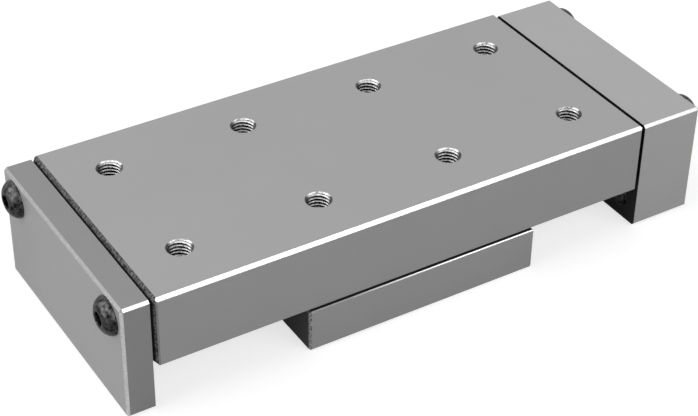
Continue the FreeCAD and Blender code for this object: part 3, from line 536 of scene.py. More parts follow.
def plain_finish(name, dark, light, scale, rough_low, rough_high, wear_colour, wear, depth, **sockets):
    """A finish of two close colours mixed by a noise, with worn edges and a fine relief."""
    material, tree, shader, place = start_material(name, **sockets)
    patches = noise(tree, place["Object"], scale, 4.0, 0.6)
    share = ramp_between(tree, patches, *COLOUR_BAND)
    worn = use_group(tree, EDGE_WEAR, {"Position": place["Object"]})["Worn"]
    body = blend_colours(tree, share, dark, light)
    colour = blend_colours(tree, times(tree, worn, wear), body, wear_colour)
    tree.links.new(colour, shader.inputs["Base Color"])
    roughness = ramp_between(tree, patches, *NOISE_BAND, rough_low, rough_high)
    tree.links.new(roughness, shader.inputs["Roughness"])
    relief(tree, shader, patches, depth)
    return material


print("materials so far:", len(bpy.data.materials))

# %% The finishes themselves
# For each: two colours, patch scale, roughness from and to, colour and share of the wear, depth of relief.
BLACK_OXIDE = plain_finish(
    "black_oxide", grey(0.004), grey(0.1), 1500.0, 0.16, 0.4, grey(0.15), 0.25, 0.03 * MM,
    Metallic=0.9, Specular_IOR_Level=0.4)
GROUND_STEEL = plain_finish(
    "ground_steel", grey(0.42), grey(0.5), 2500.0, 0.22, 0.32, grey(0.7), 0.5, 0.002 * MM, Metallic=1.0)
GIB_BRONZE = plain_finish(
    "gib_bronze", (0.30, 0.19, 0.10, 1.0), (0.38, 0.25, 0.14, 1.0), 1800.0, 0.3, 0.42,
    (0.6, 0.45, 0.28, 1.0), 0.5, 0.003 * MM, Metallic=1.0)
PLUG_BRASS = plain_finish(
    "plug_brass", (0.52, 0.40, 0.17, 1.0), (0.6, 0.47, 0.22, 1.0), 1500.0, 0.28, 0.38,
    (0.8, 0.68, 0.4, 1.0), 0.5, 0.003 * MM, Metallic=1.0)
SLIDE_LINER = plain_finish(
    "slide_liner", (0.10, 0.13, 0.12, 1.0), (0.13, 0.16, 0.15, 1.0), 4000.0, 0.5, 0.6,
    (0.2, 0.23, 0.22, 1.0), 0.3, 0.004 * MM)
URETHANE = plain_finish(
    "urethane", grey(0.03), grey(0.045), 2500.0, 0.45, 0.6, grey(0.09), 0.4, 0.006 * MM)
print("materials now:", len(bpy.data.materials))

# %% Dress the small pieces
for name, node in nodes.items():
    if "dowel" in name or name == "dovetail_way":
        dress(node, GROUND_STEEL)
    elif "liner" in name:
        dress(node, SLIDE_LINER)
    elif "bumper" in name or "stop_tip" in name:
        dress(node, URETHANE)
    elif "screw" in name or "nut" in name:
        dress(node, BLACK_OXIDE)
dress(nodes["gib"], GIB_BRONZE)
dress(nodes["lock_plug"], PLUG_BRASS)
print("pieces dressed:", sum(1 for node in nodes.values() if node.data.materials))

# %% [markdown]
# ## Threads and screws from one tree
# A screw thread is one ridge wound round a core, and a tapped hole is the same ridge turned inwards. The
# solids carry only the plain cylinders, so the ridges are added here. They could be modelled turn by turn,
# but a thread is a rule, and a Geometry Nodes tree states it once: a spiral, a small trapezoid swept along
# it, and a copy on every point. The spiral node winds to the left unless it is reversed, and nearly every
# thread is right-handed, so it is. A positive height makes a screw and a negative one a tapped hole. Where
# the hole has a countersink, its cone trims the first turns.

# %% Words for what turns round an axis, and the end of a tree


def round_the_axis(tree):
    """For each point: its X, Y and Z, its distance from the Z axis, and the way outwards from that axis."""
    place = add(tree, "GeometryNodeInputPosition").outputs[0]
    parts = add(tree, "ShaderNodeSeparateXYZ", {0: place}).outputs
    flat = add(tree, "ShaderNodeCombineXYZ", {0: parts["X"], 1: parts["Y"]}).outputs[0]
    radius = add(tree, "ShaderNodeVectorMath", {0: flat}, operation="LENGTH").outputs["Value"]
    return parts, radius, vector_sum(tree, "NORMALIZE", flat)


def scaled(tree, vector, amount):
    """A vector made longer or shorter."""
    return add(tree, "ShaderNodeVectorMath", {0: vector, "Scale": amount}, operation="SCALE").outputs[0]


def finish_tree(tree, geometry, material, sink):
    """The end of a tree: copies become real geometry and get their material."""
    solid = add(tree, "GeometryNodeRealizeInstances", {"Geometry": geometry}).outputs[0]
    finished = add(tree, "GeometryNodeSetMaterial", {"Geometry": solid, "Material": material}).outputs[0]
    tree.links.new(finished, sink)


print("screws and holes are made about the Z axis, with their mouth or head at height 0")

# %% Profile of the ridge
FOOT_SUNK = 0.06
FIRST_CORNER = 7  # number of the quadrilateral node's input for its first corner


def thread_profile(tree, base_width, crest_share, height):
    """Trapezoid across the ridge: its foot sinks a little below the base radius, its crest is narrow."""
    foot_half = times(tree, base_width, 0.5)
    crest_half = times(tree, foot_half, crest_share)
    foot_in = times(tree, height, -FOOT_SUNK)
    corners = []
    for across, along, sign in ((foot_in, foot_half, 1.0), (height, crest_half, 1.0),
                                (height, crest_half, -1.0), (foot_in, foot_half, -1.0)):
        along = times(tree, along, sign)
        corners.append(add(tree, "ShaderNodeCombineXYZ", {0: across, 1: along}).outputs[0])
    inputs = {FIRST_CORNER + number: corner for number, corner in enumerate(corners)}
    return add(tree, "GeometryNodeCurvePrimitiveQuadrilateral", inputs, mode="POINTS").outputs[0]


print("the ridge's foot sinks in by", FOOT_SUNK, "of its height")

# %% Cone that trims a ridge
MOUTH_MARGIN = 0.02 * MM


def trimmed_by_cone(tree, geometry, cone_radius):
    """Pushes the ridge below the mouth, and outwards to the 45 degree cone of the countersink."""
    parts, radius, outwards = round_the_axis(tree)
    depth = sum_up(tree, "MINIMUM", parts["Z"], -MOUTH_MARGIN)
    cone = sum_up(tree, "ADD", cone_radius, depth)
    push = sum_up(tree, "SUBTRACT", sum_up(tree, "MAXIMUM", radius, cone), radius)
    sunk = add(tree, "ShaderNodeCombineXYZ", {2: sum_up(tree, "SUBTRACT", depth, parts["Z"])}).outputs[0]
    offset = vector_sum(tree, "ADD", scaled(tree, outwards, push), sunk)
    return add(tree, "GeometryNodeSetPosition", {"Geometry": geometry, "Offset": offset}).outputs[0]


print("a ridge stays", MOUTH_MARGIN / MM, "mm below the mouth")

# %% Ridge wound on a spiral
THREAD_STEPS = 40
FADE, FADED_TO = 0.04, 0.15


def wound_ridge(tree, inside):
    """The ridge: its profile swept along a right-handed spiral, thin at both ends and closed all round."""
    turns = sum_up(tree, "DIVIDE", inside["Length"], inside["Pitch"])
    spiral = add(tree, "GeometryNodeCurveSpiral",
                 {"Resolution": THREAD_STEPS, "Rotations": turns, "Start Radius": inside["Base radius"],
                  "End Radius": inside["Base radius"], "Height": inside["Length"],
                  "Reverse": True}).outputs[0]
    lowered = add(tree, "ShaderNodeCombineXYZ",
                  {2: sum_up(tree, "SUBTRACT", inside["Start"], inside["Length"])}).outputs[0]
    spiral = add(tree, "GeometryNodeTransform", {"Geometry": spiral, "Translation": lowered}).outputs[0]
    spiral = add(tree, "GeometryNodeSetCurveNormal", {"Curve": spiral}, mode="Z_UP").outputs[0]
    along = add(tree, "GeometryNodeSplineParameter").outputs["Factor"]
    from_end = sum_up(tree, "MINIMUM", along, sum_up(tree, "SUBTRACT", 1.0, along))
    faded = ramp_between(tree, from_end, 0.0, FADE, FADED_TO, 1.0)
    profile = thread_profile(tree, inside["Base width"], inside["Crest share"], inside["Height"])
    ridge = add(tree, "GeometryNodeCurveToMesh",
                {"Curve": spiral, "Profile Curve": profile, "Scale": faded, "Fill Caps": True}).outputs[0]
    outward = add(tree, "FunctionNodeCompare", {0: inside["Height"], 1: 0.0},
                  data_type="FLOAT", operation="GREATER_THAN").outputs[0]
    return add(tree, "GeometryNodeFlipFaces", {"Mesh": ridge, "Selection": outward}).outputs[0]


print("steps in a turn:", THREAD_STEPS)

# %% A tree that winds a thread and puts copies on points
TURN_ATTRIBUTE = "turn"
FLANK_ATTRIBUTE = "flank"


def thread_tree():
    """Points in, threaded copies out: each copy is a blank, if there is one, and a ridge wound round it."""
    tree, inside, out = new_group(
        "wind_threads", "GeometryNodeTree",
        [("Geometry", "NodeSocketGeometry", None), ("Blank", "NodeSocketObject", None),
         ("Base radius", FLOAT, 0.002), ("Height", FLOAT, 0.0003), ("Base width", FLOAT, 0.0005),
         ("Crest share", FLOAT, 0.25), ("Pitch", FLOAT, 0.0008), ("Start", FLOAT, 0.0),
         ("Length", FLOAT, 0.005), ("Cone radius", FLOAT, 0.0), ("Material", "NodeSocketMaterial", None)],
        [("Geometry", "NodeSocketGeometry")])
    ridge = trimmed_by_cone(tree, wound_ridge(tree, inside), inside["Cone radius"])
    normal = add(tree, "GeometryNodeInputNormal").outputs[0]
    slope = sum_up(tree, "ABSOLUTE", add(tree, "ShaderNodeSeparateXYZ", {0: normal}).outputs["Z"])
    ridge = add(tree, "GeometryNodeStoreNamedAttribute",
                {"Geometry": ridge, "Name": FLANK_ATTRIBUTE, "Value": slope},
                data_type="FLOAT", domain="FACE").outputs[0]
    blank = add(tree, "GeometryNodeObjectInfo", {"Object": inside["Blank"]}).outputs["Geometry"]
    joined = tree.nodes.new("GeometryNodeJoinGeometry")
    tree.links.new(ridge, joined.inputs[0])
    tree.links.new(blank, joined.inputs[0])
    turn = add(tree, "GeometryNodeInputNamedAttribute", {"Name": TURN_ATTRIBUTE}, data_type="FLOAT_VECTOR")
    rotation = add(tree, "FunctionNodeEulerToRotation", {0: turn.outputs[0]}).outputs[0]
    copies = add(tree, "GeometryNodeInstanceOnPoints",
                 {"Points": inside["Geometry"], "Instance": joined.outputs[0],
                  "Rotation": rotation}).outputs[0]
    finish_tree(tree, copies, inside["Material"], out["Geometry"])
    return tree


WIND_THREADS = thread_tree()
print("tree:", WIND_THREADS.name, "with", len(WIND_THREADS.nodes), "nodes")

# %% [markdown]
# ## From a tree to a plain piece
# The tree works on a small mesh that has one loose point for each screw or hole, and each point carries the
# turn of its screw. The result is kept as a plain mesh and the modifier is taken off, so that what rides on a
# body is ordinary geometry. Round surfaces are shaded smooth, and edges sharper than 35 degrees stay sharp.

# %% Run a tree and keep its mesh
SHARP_FROM = math.radians(35.0)


def link(name, data):
    """A new object for a mesh, a lamp or a camera, in the scene."""
    piece = bpy.data.objects.new(name, data)
    bpy.context.scene.collection.objects.link(piece)
    return piece


def smooth_by_angle(mesh):
    """Smooth shading with sharp edges kept."""
    mesh.shade_smooth()
    mesh.set_sharp_from_angle(angle=SHARP_FROM)


def run_tree(piece, tree, values):
    """Runs a tree on an object, with inputs set by their sockets' identifiers, and keeps the mesh made."""
    modifier = piece.modifiers.new(tree.name, "NODES")
    modifier.node_group = tree
    for item in tree.interface.items_tree:
        if item.in_out == "INPUT" and item.name in values:
            modifier[item.identifier] = values[item.name]
    shaped = piece.evaluated_get(bpy.context.evaluated_depsgraph_get())
    mesh = bpy.data.meshes.new_from_object(shaped)
    piece.modifiers.clear()
    piece.data = mesh
    return mesh


print("edges stay sharp from", round(math.degrees(SHARP_FROM)), "degrees")

# %% Grow a piece on its points
TURNS = {"+X": (0.0, math.pi / 2, 0.0), "-X": (0.0, -math.pi / 2, 0.0), "+Y": (-math.pi / 2, 0.0, 0.0),
         "+Z": (0.0, 0.0, 0.0), "-Z": (math.pi, 0.0, 0.0)}


def grow(name, tree, spots, values, body):
    """Runs a tree on spots (point, way that it faces) and keeps the result as a mesh that rides on a body."""
    seeds = bpy.data.meshes.new(f"{name}_spots")
    seeds.from_pydata([spot for spot, _ in spots], [], [])
    turn = seeds.attributes.new(TURN_ATTRIBUTE, "FLOAT_VECTOR", "POINT")
    for number, (_, way) in enumerate(spots):
        turn.data[number].vector = TURNS[way]
    piece = link(name, seeds)
    mesh = run_tree(piece, tree, values)
    smooth_by_angle(mesh)
    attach(piece, body)
    print(f"{name}: {len(spots)} copies, {len(mesh.polygons)} faces")
    return piece


print("ways that a copy can face:", ", ".join(TURNS))

# %% [markdown]
# ## Threads in the tapped holes
# Looking into the table's holes, the eye meets a bright countersink and then the thread, turn under turn. It
# is what tells a tapped hole from a drilled one. The same ridges go into the four holes of the saddle's
# underside and into the open outer ends of the stop screws' bores. The thread's tones are painted light and
# shade: the flanks are painted bright and the crests nearly black, and the material asks the tree's flank
# attribute which of the two a face is.

# %% Finish of a cut thread, with painted light and shade
CREST_SHADE, FLANK_LIGHT_TONES = 0.01, (0.25, 0.8)
ROUGH_CREST, ROUGH_FLANK = 0.6, 0.4
CHATTER_PATCHES, CHATTER_BAND, CHATTER_RELIEF = 3500.0, (0.35, 0.62), 0.01 * MM
FLANK_SLOPES = (0.25, 0.6)


def cut_thread():
    """Tapped aluminium, its tones painted light and shade: bright on the flanks, dull and dark on the crests.
    """
    material, tree, shader, place = start_material("cut_thread", Metallic=0.8)
    flank = add(tree, "ShaderNodeAttribute", attribute_name=FLANK_ATTRIBUTE).outputs["Fac"]
    chatter = noise(tree, place["Object"], CHATTER_PATCHES, 3.0, 0.6)
    cut = ramp_between(tree, flank, *FLANK_SLOPES)
    bright = ramp_between(tree, chatter, *CHATTER_BAND, *FLANK_LIGHT_TONES)
    bright = times(tree, bright, painted_sheen(tree, place["Normal"]))
    # painted light and shade: crests nearly black, flanks bright, times the painted sheen
    tone = blend_numbers(tree, cut, CREST_SHADE, bright)
    tree.links.new(grey_from(tree, tone), shader.inputs["Base Color"])
    tree.links.new(blend_numbers(tree, cut, ROUGH_CREST, ROUGH_FLANK), shader.inputs["Roughness"])
    relief(tree, shader, chatter, CHATTER_RELIEF)
    return material


CUT_THREAD = cut_thread()
print("material:", CUT_THREAD.name)

# %% Ridges of a tapped hole
TAPPED_RADIUS = 2.083 * MM
TAPPED_SINK = 2.3 * MM
TAPPED_PITCH = 0.635 * MM
TAPPED_HEIGHT = 0.2 * MM
TAPPED_LEAD = 0.12 * MM
TAPPED_WIDTH, TAPPED_CREST = 0.86, 0.45


def tapped(name, spots, depth, body, sink=TAPPED_SINK):
    """The ridges of tapped holes whose mouths are at the spots."""
    values = {"Base radius": TAPPED_RADIUS, "Height": -TAPPED_HEIGHT,
              "Base width": TAPPED_WIDTH * TAPPED_PITCH, "Crest share": TAPPED_CREST, "Pitch": TAPPED_PITCH,
              "Start": -TAPPED_LEAD, "Length": depth - TAPPED_LEAD, "Cone radius": sink,
              "Material": CUT_THREAD}
    grow(name, WIND_THREADS, spots, values, body)


def mount_spots(name, way):
    """The four holes of a bolt pattern in the record, each with the way that it faces."""
    mount = next(m for m in frame["record"]["mounts"] if m["name"] == name)
    middle, dims = Vector(mount["pos_m"]), mount["dims"]
    half_x, half_y = dims["spacing_x_mm"] * MM / 2, dims["spacing_y_mm"] * MM / 2
    return [(middle + Vector((sx * half_x, sy * half_y, 0.0)), way) for sx in (-1, 1) for sy in (-1, 1)]


print("turns stand", TAPPED_PITCH / MM, "mm apart")

# %% Tapped holes of the table, the saddle and the block
TABLE_HOLE_DEPTH, BASE_HOLE_DEPTH = 9.0 * MM, 5.5 * MM
table_spots = mount_spots("table_holes_outer", "+Z") + mount_spots("table_holes_inner", "+Z")
tapped("table_hole_threads", table_spots, TABLE_HOLE_DEPTH, "table")
tapped("base_hole_threads", mount_spots("base_holes", "-Z"), BASE_HOLE_DEPTH, "saddle")
block_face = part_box("right_end_block")[1].x
stop_spots = []
for row in ("front", "back"):
    low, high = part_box(f"stop_screw_{row}")
    stop_spots.append((Vector((block_face, (low.y + high.y) / 2, (low.z + high.z) / 2)), "+X"))
tapped("stop_bore_threads", stop_spots, block_face - high.x, "table", sink=0.0)

# %% [markdown]
# ## Screw blanks, turned as on a lathe
# Before its thread is rolled, a screw is a turned blank with a hexagon socket. Its outline is a short list of
# radii and depths below the screw's outer face, and every ring of the mesh follows it, round everywhere but
# in the socket, where the ring becomes a hexagon. Sizes come from the frame's own boxes: the length of a
# screw is the length of its box, and its head is as wide as the box.

# %% Hexagon and dome


def hexagon_radius(half_flats, angle):
    """Distance from the middle of a hexagon to its side in a direction."""
    sixth = math.pi / 3
    return half_flats / math.cos((angle + sixth / 2) % sixth - sixth / 2)


def dome(start, end, radius, steps):
    """Points of a rounded shoulder between two points of an outline, bulging outwards."""
    chord = Vector(end) - Vector(start)
    middle = (Vector(start) + Vector(end)) / 2
    to_centre = Vector((-chord.y, chord.x)).normalized()
    if to_centre.x > 0:
        to_centre = -to_centre
    centre = middle + to_centre * math.sqrt(radius ** 2 - (chord.length / 2) ** 2)
    first, last = Vector(start) - centre, Vector(end) - centre
    sweep = first.angle_signed(last)
    return [tuple(centre + Matrix.Rotation(-sweep * step / steps, 2) @ first) for step in range(1, steps)]


print("corner of a hexagon of half width 1:", round(hexagon_radius(1.0, math.pi / 6), 3))

# %% Blanks
RING_SIDES = 48
SOCKET_RIM, RIM_SPREAD = 0.1 * MM, 0.06 * MM
DRILL_POINT = 0.45


def blank(name, outline, half_flats, socket_depth, sides=RING_SIDES):
    """A turned screw: the socket's cone and hexagon first, then the outline down to its last point."""
    tip = -socket_depth - DRILL_POINT * half_flats
    mouth = hexagon_radius(half_flats, math.pi / 6) + RIM_SPREAD
    rings = [("hexagon", half_flats, -socket_depth), ("hexagon", half_flats, -SOCKET_RIM)]
    rings += [("round", radius, depth) for radius, depth in [(mouth, 0.0)] + outline[:-1]]
    angles = [2 * math.pi * side / sides for side in range(sides)]
    points = [(0.0, 0.0, tip)]
    for kind, size, depth in rings:
        for angle in angles:
            radius = hexagon_radius(size, angle) if kind == "hexagon" else size
            points.append((radius * math.cos(angle), radius * math.sin(angle), depth))
    points.append((0.0, 0.0, outline[-1][1]))
    faces = [(0, 1 + side, 1 + (side + 1) % sides) for side in range(sides)]
    for ring in range(len(rings) - 1):
        here, below = 1 + ring * sides, 1 + (ring + 1) * sides
        for side in range(sides):
            after = (side + 1) % sides
            faces.append((here + side, below + side, below + after, here + after))
    final = 1 + (len(rings) - 1) * sides
    faces += [(final + side, len(points) - 1, final + (side + 1) % sides) for side in range(sides)]
    mesh = bpy.data.meshes.new(f"{name}_blank")
    mesh.from_pydata(points, [], faces)
    return link(f"{name}_blank", mesh)


print("blanks have", RING_SIDES, "sides")

# %% Place and size of a screw from its box in the frame
DIRECTIONS = {"+X": Vector((1, 0, 0)), "-X": Vector((-1, 0, 0)), "+Y": Vector((0, 1, 0)),
              "+Z": Vector((0, 0, 1)), "-Z": Vector((0, 0, -1))}


def axis_from_frame(node, way):
    """Middle of the outer face of a screw, its length and its greatest radius, from its box in the frame."""
    low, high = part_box(node)
    middle, size = (low + high) / 2, high - low
    direction = DIRECTIONS[way]
    length = abs(size.dot(direction))
    across = [side for side, part in zip(size, direction) if part == 0]
    return middle + direction * length / 2, length, max(across) / 2


print("length of the lock screw in mm:", round(axis_from_frame("lock_screw", "+Y")[1] / MM, 2))

# %% [markdown]
# ## A knurl on the lock's head
# The lock is a cap screw, and the side of its head is knurled with straight ribs for the fingers. The ribs
# repeat by a rule, so a small tree presses them into the blank: each point of the side moves inwards by a
# wave that runs round the axis.

# %% A tree that presses a knurl
KNURL_RIBS, SIDES_PER_RIB = 36, 4
KNURL_DEPTH = 0.12 * MM
OUTERMOST = 0.999  # share of the side's radius from which a point counts as on the side


def knurl_tree():
    """Moves the points of a turned side inwards by a cosine wave round Z, between two depths."""
    tree, inside, out = new_group(
        "press_knurl", "GeometryNodeTree",
        [("Geometry", "NodeSocketGeometry", None), ("Ribs", FLOAT, 36.0), ("Depth", FLOAT, 0.0001),
         ("Side radius", FLOAT, 0.003), ("Top", FLOAT, -0.0004), ("Bottom", FLOAT, -0.003),
         ("Material", "NodeSocketMaterial", None)],
        [("Geometry", "NodeSocketGeometry")])
    parts, radius, outwards = round_the_axis(tree)
    angle = sum_up(tree, "ARCTAN2", parts["Y"], parts["X"])
    wave = sum_up(tree, "COSINE", times(tree, angle, inside["Ribs"]))
    inwards = times(tree, sum_up(tree, "MULTIPLY_ADD", wave, 0.5, -0.5), inside["Depth"])
    side = times(tree, inside["Side radius"], OUTERMOST)
    on_side = sum_up(tree, "GREATER_THAN", radius, side)
    in_band = between(tree, parts["Z"], inside["Bottom"], inside["Top"])
    amount = times(tree, times(tree, on_side, in_band), inwards)
    moved = add(tree, "GeometryNodeSetPosition",
                {"Geometry": inside["Geometry"], "Offset": scaled(tree, outwards, amount)}).outputs[0]
    finish_tree(tree, moved, inside["Material"], out["Geometry"])
    return tree


PRESS_KNURL = knurl_tree()


def knurled(shape, head, top, bottom):
    """Presses the knurl into the side of a blank's head, between two depths."""
    values = {"Ribs": float(KNURL_RIBS), "Depth": KNURL_DEPTH, "Side radius": head,
              "Top": top, "Bottom": bottom, "Material": BLACK_OXIDE}
    run_tree(shape, PRESS_KNURL, values)


print("tree:", PRESS_KNURL.name, "with", KNURL_RIBS, "ribs")

# %% [markdown]
# ## The screws themselves
# Five kinds of screw are in the slide, all with rolled threads of 60 degrees. The copies of one screw are one
# piece that stands for all of its solids, because they ride on the same body. The core under the ridge is
# thinner than the thread by a fixed share of the pitch, as on any screw.

# %% Put threaded screws in place of the plain ones
COARSE_PITCH = 0.794 * MM
FINE_PITCH = 0.635 * MM
RIDGE_SHARE, RIDGE_WIDTH = 0.55, 0.84
SMALL_EDGE, PLAIN_FOOT = 0.15 * MM, 0.1 * MM


def screws(name, node_names, way, outline_of, socket, major, pitch, neck, foot, body, knurl=None):
    """Threaded screws that replace frame nodes; neck and foot are the lengths without thread at each end."""
    spots = [axis_from_frame(node, way) for node in node_names]
    length, head = spots[0][1:]
    core = major - RIDGE_SHARE * pitch
    sides = SIDES_PER_RIB * KNURL_RIBS if knurl else RING_SIDES
    shape = blank(name, outline_of(length, head, core), *socket, sides)
    if knurl:
        knurled(shape, head, *knurl)
    values = {"Blank": shape, "Base radius": core, "Height": major - core, "Base width": RIDGE_WIDTH * pitch,
              "Pitch": pitch, "Start": -neck, "Length": length - neck - foot, "Material": BLACK_OXIDE}
    piece = grow(name, WIND_THREADS, [(spot, way) for spot, _, _ in spots], values, body)
    bpy.data.objects.remove(shape)
    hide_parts(*node_names)


def foot_of(core, length):
    """The bevelled end of a screw."""
    return [(core, -length + SMALL_EDGE), (core - SMALL_EDGE, -length), (0.0, -length)]


print("pitches in mm:", COARSE_PITCH / MM, "and", FINE_PITCH / MM)

# %% [markdown]
# ## Button heads on the end pieces
# The four screws that hold the end pieces are the ones that the picture shows: low black domes with a
# hexagon socket, close to the upper corners. The dome is an arc between the flat round the socket and the
# rim, and the shank has a plain neck before the thread starts.

# %% Button-head screws in the end pieces
BUTTON_HEIGHT, BUTTON_RIM, BUTTON_FLAT = 1.85 * MM, 0.35 * MM, 1.6 * MM
BUTTON_DOME, DOME_STEPS = 2.4 * MM, 8
BUTTON_SOCKET = (1.16 * MM, 1.3 * MM)
END_SCREW_RADIUS, END_SCREW_NECK = 1.753 * MM, 2.7 * MM
NECK_PLAIN, NECK_TAPERED = 0.6 * MM, 1.0 * MM


def button_outline(length, head, core):
    """Button head: a flat round the socket, a dome, a short straight rim and the shank."""
    rim_top = -BUTTON_HEIGHT + BUTTON_RIM
    outline = [(BUTTON_FLAT, 0.0)] + dome((BUTTON_FLAT, 0.0), (head, rim_top), BUTTON_DOME, DOME_STEPS)
    outline += [(head, rim_top), (head, -BUTTON_HEIGHT), (END_SCREW_RADIUS, -BUTTON_HEIGHT)]
    outline += [(END_SCREW_RADIUS, -BUTTON_HEIGHT - NECK_PLAIN), (core, -BUTTON_HEIGHT - NECK_TAPERED)]
    return outline + foot_of(core, length)


for end, way in (("left", "-X"), ("right", "+X")):
    members = [f"{end}_end_screw_{row}" for row in ("front", "back")]
    screws(f"{end}_end_screws", members, way, button_outline, BUTTON_SOCKET, END_SCREW_RADIUS,
           COARSE_PITCH, END_SCREW_NECK, PLAIN_FOOT, "table")

# %% [markdown]
# ## Flat heads in the way
# The way is held from below by four small flat-head screws, sunk level with its face so that nothing rubs on
# the saddle. Their outline is the plainest: the cone of the head, a short taper and the core.

# %% Flat-head screws in the way
FLAT_CONE, FLAT_TAPER = 1.656 * MM, 0.4 * MM
SMALL_RADIUS = 1.42 * MM
SMALL_SOCKET = (0.635 * MM, 1.2 * MM)
WAY_SCREW_NECK = 2.1 * MM


def flat_outline(length, head, core):
    """Flat head with its cone, and the shank."""
    return [(head, 0.0), (SMALL_RADIUS, -FLAT_CONE), (core, -FLAT_CONE - FLAT_TAPER)] + foot_of(core, length)


screws("way_screws", [f"way_screw_{number}" for number in range(1, 5)], "-Z", flat_outline, SMALL_SOCKET,
       SMALL_RADIUS, FINE_PITCH, WAY_SCREW_NECK, PLAIN_FOOT, "table")

# %% [markdown]
# ## Set screws for the gib and for the stops
# A set screw has no head, only its socket. The two in the saddle's back end in a dog point, a plain pin that
# presses the gib without turning it askew. The two in the thick block have a pocket in the nose, where the
# soft tip sits that meets the saddle at the end of the travel.

# %% Set screws for the gib and for the stops
DOG_RADIUS, DOG_LENGTH, DOG_SHOULDER = 0.9 * MM, 1.5 * MM, 0.3 * MM
TIP_POCKET = (1.32 * MM, 2.0 * MM)
GIB_SCREW_NECK, STOP_SCREW_NECK = 0.15 * MM, 0.2 * MM


def dog_outline(length, head, core):
    """Set screw that ends in a dog point."""
    dog_top = -length + DOG_LENGTH
    return [(core - SMALL_EDGE, 0.0), (core, -SMALL_EDGE), (core, dog_top + core - DOG_RADIUS),
            (DOG_RADIUS, dog_top), (DOG_RADIUS, -length), (0.0, -length)]


def stop_outline(length, head, core):
    """Set screw with a pocket in its nose for the soft tip."""
    radius, depth = TIP_POCKET
    return [(core - SMALL_EDGE, 0.0), (core, -SMALL_EDGE), (core, -length + SMALL_EDGE),
            (core - SMALL_EDGE, -length), (radius, -length), (radius, -length + depth),
            (0.0, -length + depth)]


screws("gib_screws", ["gib_screw_left", "gib_screw_right"], "+Y", dog_outline, SMALL_SOCKET,
       SMALL_RADIUS, FINE_PITCH, GIB_SCREW_NECK, DOG_LENGTH + DOG_SHOULDER, "saddle")
screws("stop_screws", ["stop_screw_front", "stop_screw_back"], "+X", stop_outline, BUTTON_SOCKET,
       TAPPED_RADIUS, COARSE_PITCH, STOP_SCREW_NECK, STOP_SCREW_NECK, "table")

# %% [markdown]
# ## The lock screw
# One cap screw in the middle of the saddle's back drives the brass plug against the gib. Its head is tall and
# knurled, so that fingers can set it before a key tightens it. It is a body of its own and turns.

# %% The lock screw
CAP_HEIGHT, CAP_EDGE = 3.5 * MM, 0.3 * MM
LOCK_RADIUS = 1.75 * MM
LOCK_SOCKET = (1.39 * MM, 1.8 * MM)
LOCK_PLAIN, LOCK_TAPERED = 1.3 * MM, 1.7 * MM
KNURL_MARGIN = 1.2 * CAP_EDGE


def cap_outline(length, head, core):
    """Cap head with a bevelled top and a side that takes the knurl, and the shank."""
    side = [(head, -CAP_EDGE), (head, -1.5 * CAP_EDGE), (head, -CAP_HEIGHT + 1.5 * CAP_EDGE)]
    foot = [(head, -CAP_HEIGHT + CAP_EDGE), (head - CAP_EDGE / 2, -CAP_HEIGHT)]
    shank = [(LOCK_RADIUS, -CAP_HEIGHT), (LOCK_RADIUS, -CAP_HEIGHT - LOCK_PLAIN),
             (core, -CAP_HEIGHT - LOCK_TAPERED)]
    return [(head - CAP_EDGE, 0.0)] + side + foot + shank + foot_of(core, length)


screws("lock_screw_threaded", ["lock_screw"], "+Y", cap_outline, LOCK_SOCKET, LOCK_RADIUS, COARSE_PITCH,
       CAP_HEIGHT + LOCK_TAPERED, PLAIN_FOOT, "lock_screw",
       knurl=(-KNURL_MARGIN, -CAP_HEIGHT + KNURL_MARGIN))

# %% [markdown]
# ## Floor, lamps and surroundings
# The slide stands on a plain pale floor. A wide lamp overhead gives the level faces their even grey, one at
# the left lights the end plate, and one at the front lights the upright faces. A fourth, small and weak,
# stands at the front right where the long chamfers mirror it towards the camera, which is what makes them
# flash white. The surroundings are white to the eye and to polished metal, and dimmer as a source of light,
# so that the undersides stay dark.

# %% Floor
FLOOR_HALF, FLOOR_DROP = 1.5, 0.05 * MM
FLOOR_TONE, FLOOR_ROUGHNESS, FLOOR_GLOW, FLOOR_IN_METAL = 0.45, 0.9, 0.7, 0.04


def pale_floor():
    """A wide level sheet just under the slide."""
    corners = [(x * FLOOR_HALF, y * FLOOR_HALF, -FLOOR_DROP) for x, y in ((-1, -1), (1, -1), (1, 1), (-1, 1))]
    mesh = bpy.data.meshes.new("floor")
    mesh.from_pydata(corners, [], [(0, 1, 2, 3)])
    floor = link("floor", mesh)
    material, tree, shader, _ = start_material(
        "pale_floor", Roughness=FLOOR_ROUGHNESS, Base_Color=grey(FLOOR_TONE), Emission_Color=grey(1.0))
    paths = add(tree, "ShaderNodeLightPath").outputs
    seen = sum_up(tree, "MAXIMUM", paths["Is Camera Ray"], paths["Is Transmission Ray"])
    in_metal = times(tree, paths["Is Glossy Ray"], FLOOR_IN_METAL)
    emission = sum_up(tree, "MULTIPLY_ADD", seen, FLOOR_GLOW, in_metal)
    tree.links.new(emission, shader.inputs["Emission Strength"])
    dress(floor, material)


pale_floor()
print("floor stands", FLOOR_DROP / MM, "mm below the slide")

# %% Surroundings
WORLD_LIGHT = 0.15


def white_world(strength):
    """White to the camera and in reflections, and dimmer as a source of light."""
    world = bpy.data.worlds.new("surroundings")
    bpy.context.scene.world = world
    world.use_nodes = True
    tree = world.node_tree
    background = tree.nodes["Background"]
    background.inputs["Color"].default_value = grey(1.0)
    paths = add(tree, "ShaderNodeLightPath").outputs
    seen = sum_up(tree, "MAXIMUM", paths["Is Camera Ray"], paths["Is Glossy Ray"])
    seen = sum_up(tree, "MAXIMUM", seen, paths["Is Transmission Ray"])
    tree.links.new(blend_numbers(tree, seen, strength, 1.0), background.inputs["Strength"])


white_world(WORLD_LIGHT)
print("strength of the surroundings as a light:", WORLD_LIGHT)

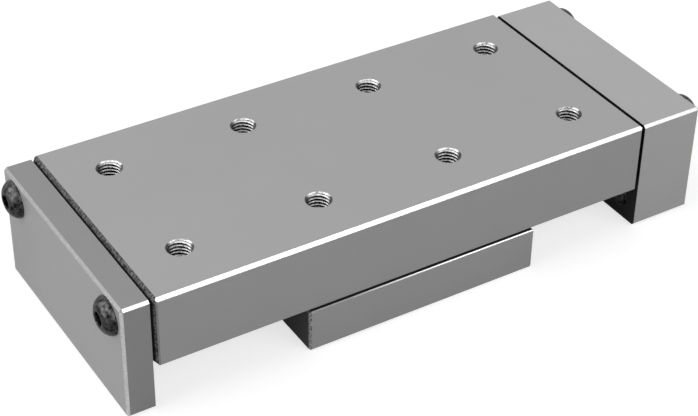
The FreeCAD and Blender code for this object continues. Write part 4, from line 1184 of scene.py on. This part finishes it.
# %% Lamps
SLIDE_MIDDLE = Vector((0.0, 0.0, 12.0)) * MM
LAMPS = (  # name, direction from the slide, distance and side in metres, power in watts
    ("overhead", (-0.25, 0.15, 1.0), 0.9, 0.8, 1.9),
    ("chamfer_flash", (0.4257, -0.588, 0.688), 0.7, 0.12, 0.05),
    ("left", (-1.0, 0.25, 0.45), 0.8, 0.9, 5.7),
    ("front", (0.3, -1.0, 0.45), 0.8, 0.8, 4.7))


def lamp(name, direction, distance, size, power):
    """A square lamp that looks at the middle of the slide from a direction."""
    data = bpy.data.lights.new(name, "AREA")
    data.shape, data.size, data.energy = "SQUARE", size, power
    light = link(name, data)
    towards = Vector(direction).normalized()
    light.location = SLIDE_MIDDLE + towards * distance
    light.rotation_euler = (-towards).to_track_quat("-Z", "Y").to_euler()


for lamp_values in LAMPS:
    lamp(*lamp_values)
print("lamps:", [name for name, *_ in LAMPS])

# %% [markdown]
# ## The camera
# The photograph was taken from the front left and above with a long lens. Its place was found by fitting a
# pinhole camera to the edges of the slide, whose real sizes are known from the frame. The picture is 698 by
# 416 pixels, and the lens follows from the focal length in those pixels and a 36 mm sensor.

# %% Camera
PICTURE_WIDTH = 698.0
FOCAL_PIXELS = 1880.702
SENSOR_MM = 36.0
CAMERA_AT = Vector((-142.854, -226.301, 200.629)) * MM
AZIMUTH, ELEVATION, ROLL = math.radians(-32.0490), math.radians(35.9084), math.radians(0.9465)
NEAREST, FARTHEST = 0.01, 20.0


def aimed_camera():
    """Camera at the photograph's place, aimed by its azimuth and elevation and rolled about its own axis."""
    data = bpy.data.cameras.new("camera")
    camera = link("camera", data)
    data.sensor_width = SENSOR_MM
    data.lens = FOCAL_PIXELS * SENSOR_MM / PICTURE_WIDTH
    data.clip_start, data.clip_end = NEAREST, FARTHEST
    right = Vector((math.cos(AZIMUTH), math.sin(AZIMUTH), 0.0))
    back = Vector((math.sin(AZIMUTH) * math.cos(ELEVATION), -math.cos(AZIMUTH) * math.cos(ELEVATION),
                   math.sin(ELEVATION)))
    up = back.cross(right)
    level = Matrix((right, up, back)).transposed()
    camera.rotation_mode = "QUATERNION"
    camera.rotation_quaternion = (level @ Matrix.Rotation(ROLL, 3, "Z")).to_quaternion()
    camera.location = CAMERA_AT
    return camera


bpy.context.scene.camera = aimed_camera()
bpy.context.scene.view_settings.view_transform = "Standard"
print("lens in mm:", round(bpy.context.scene.camera.data.lens, 2))
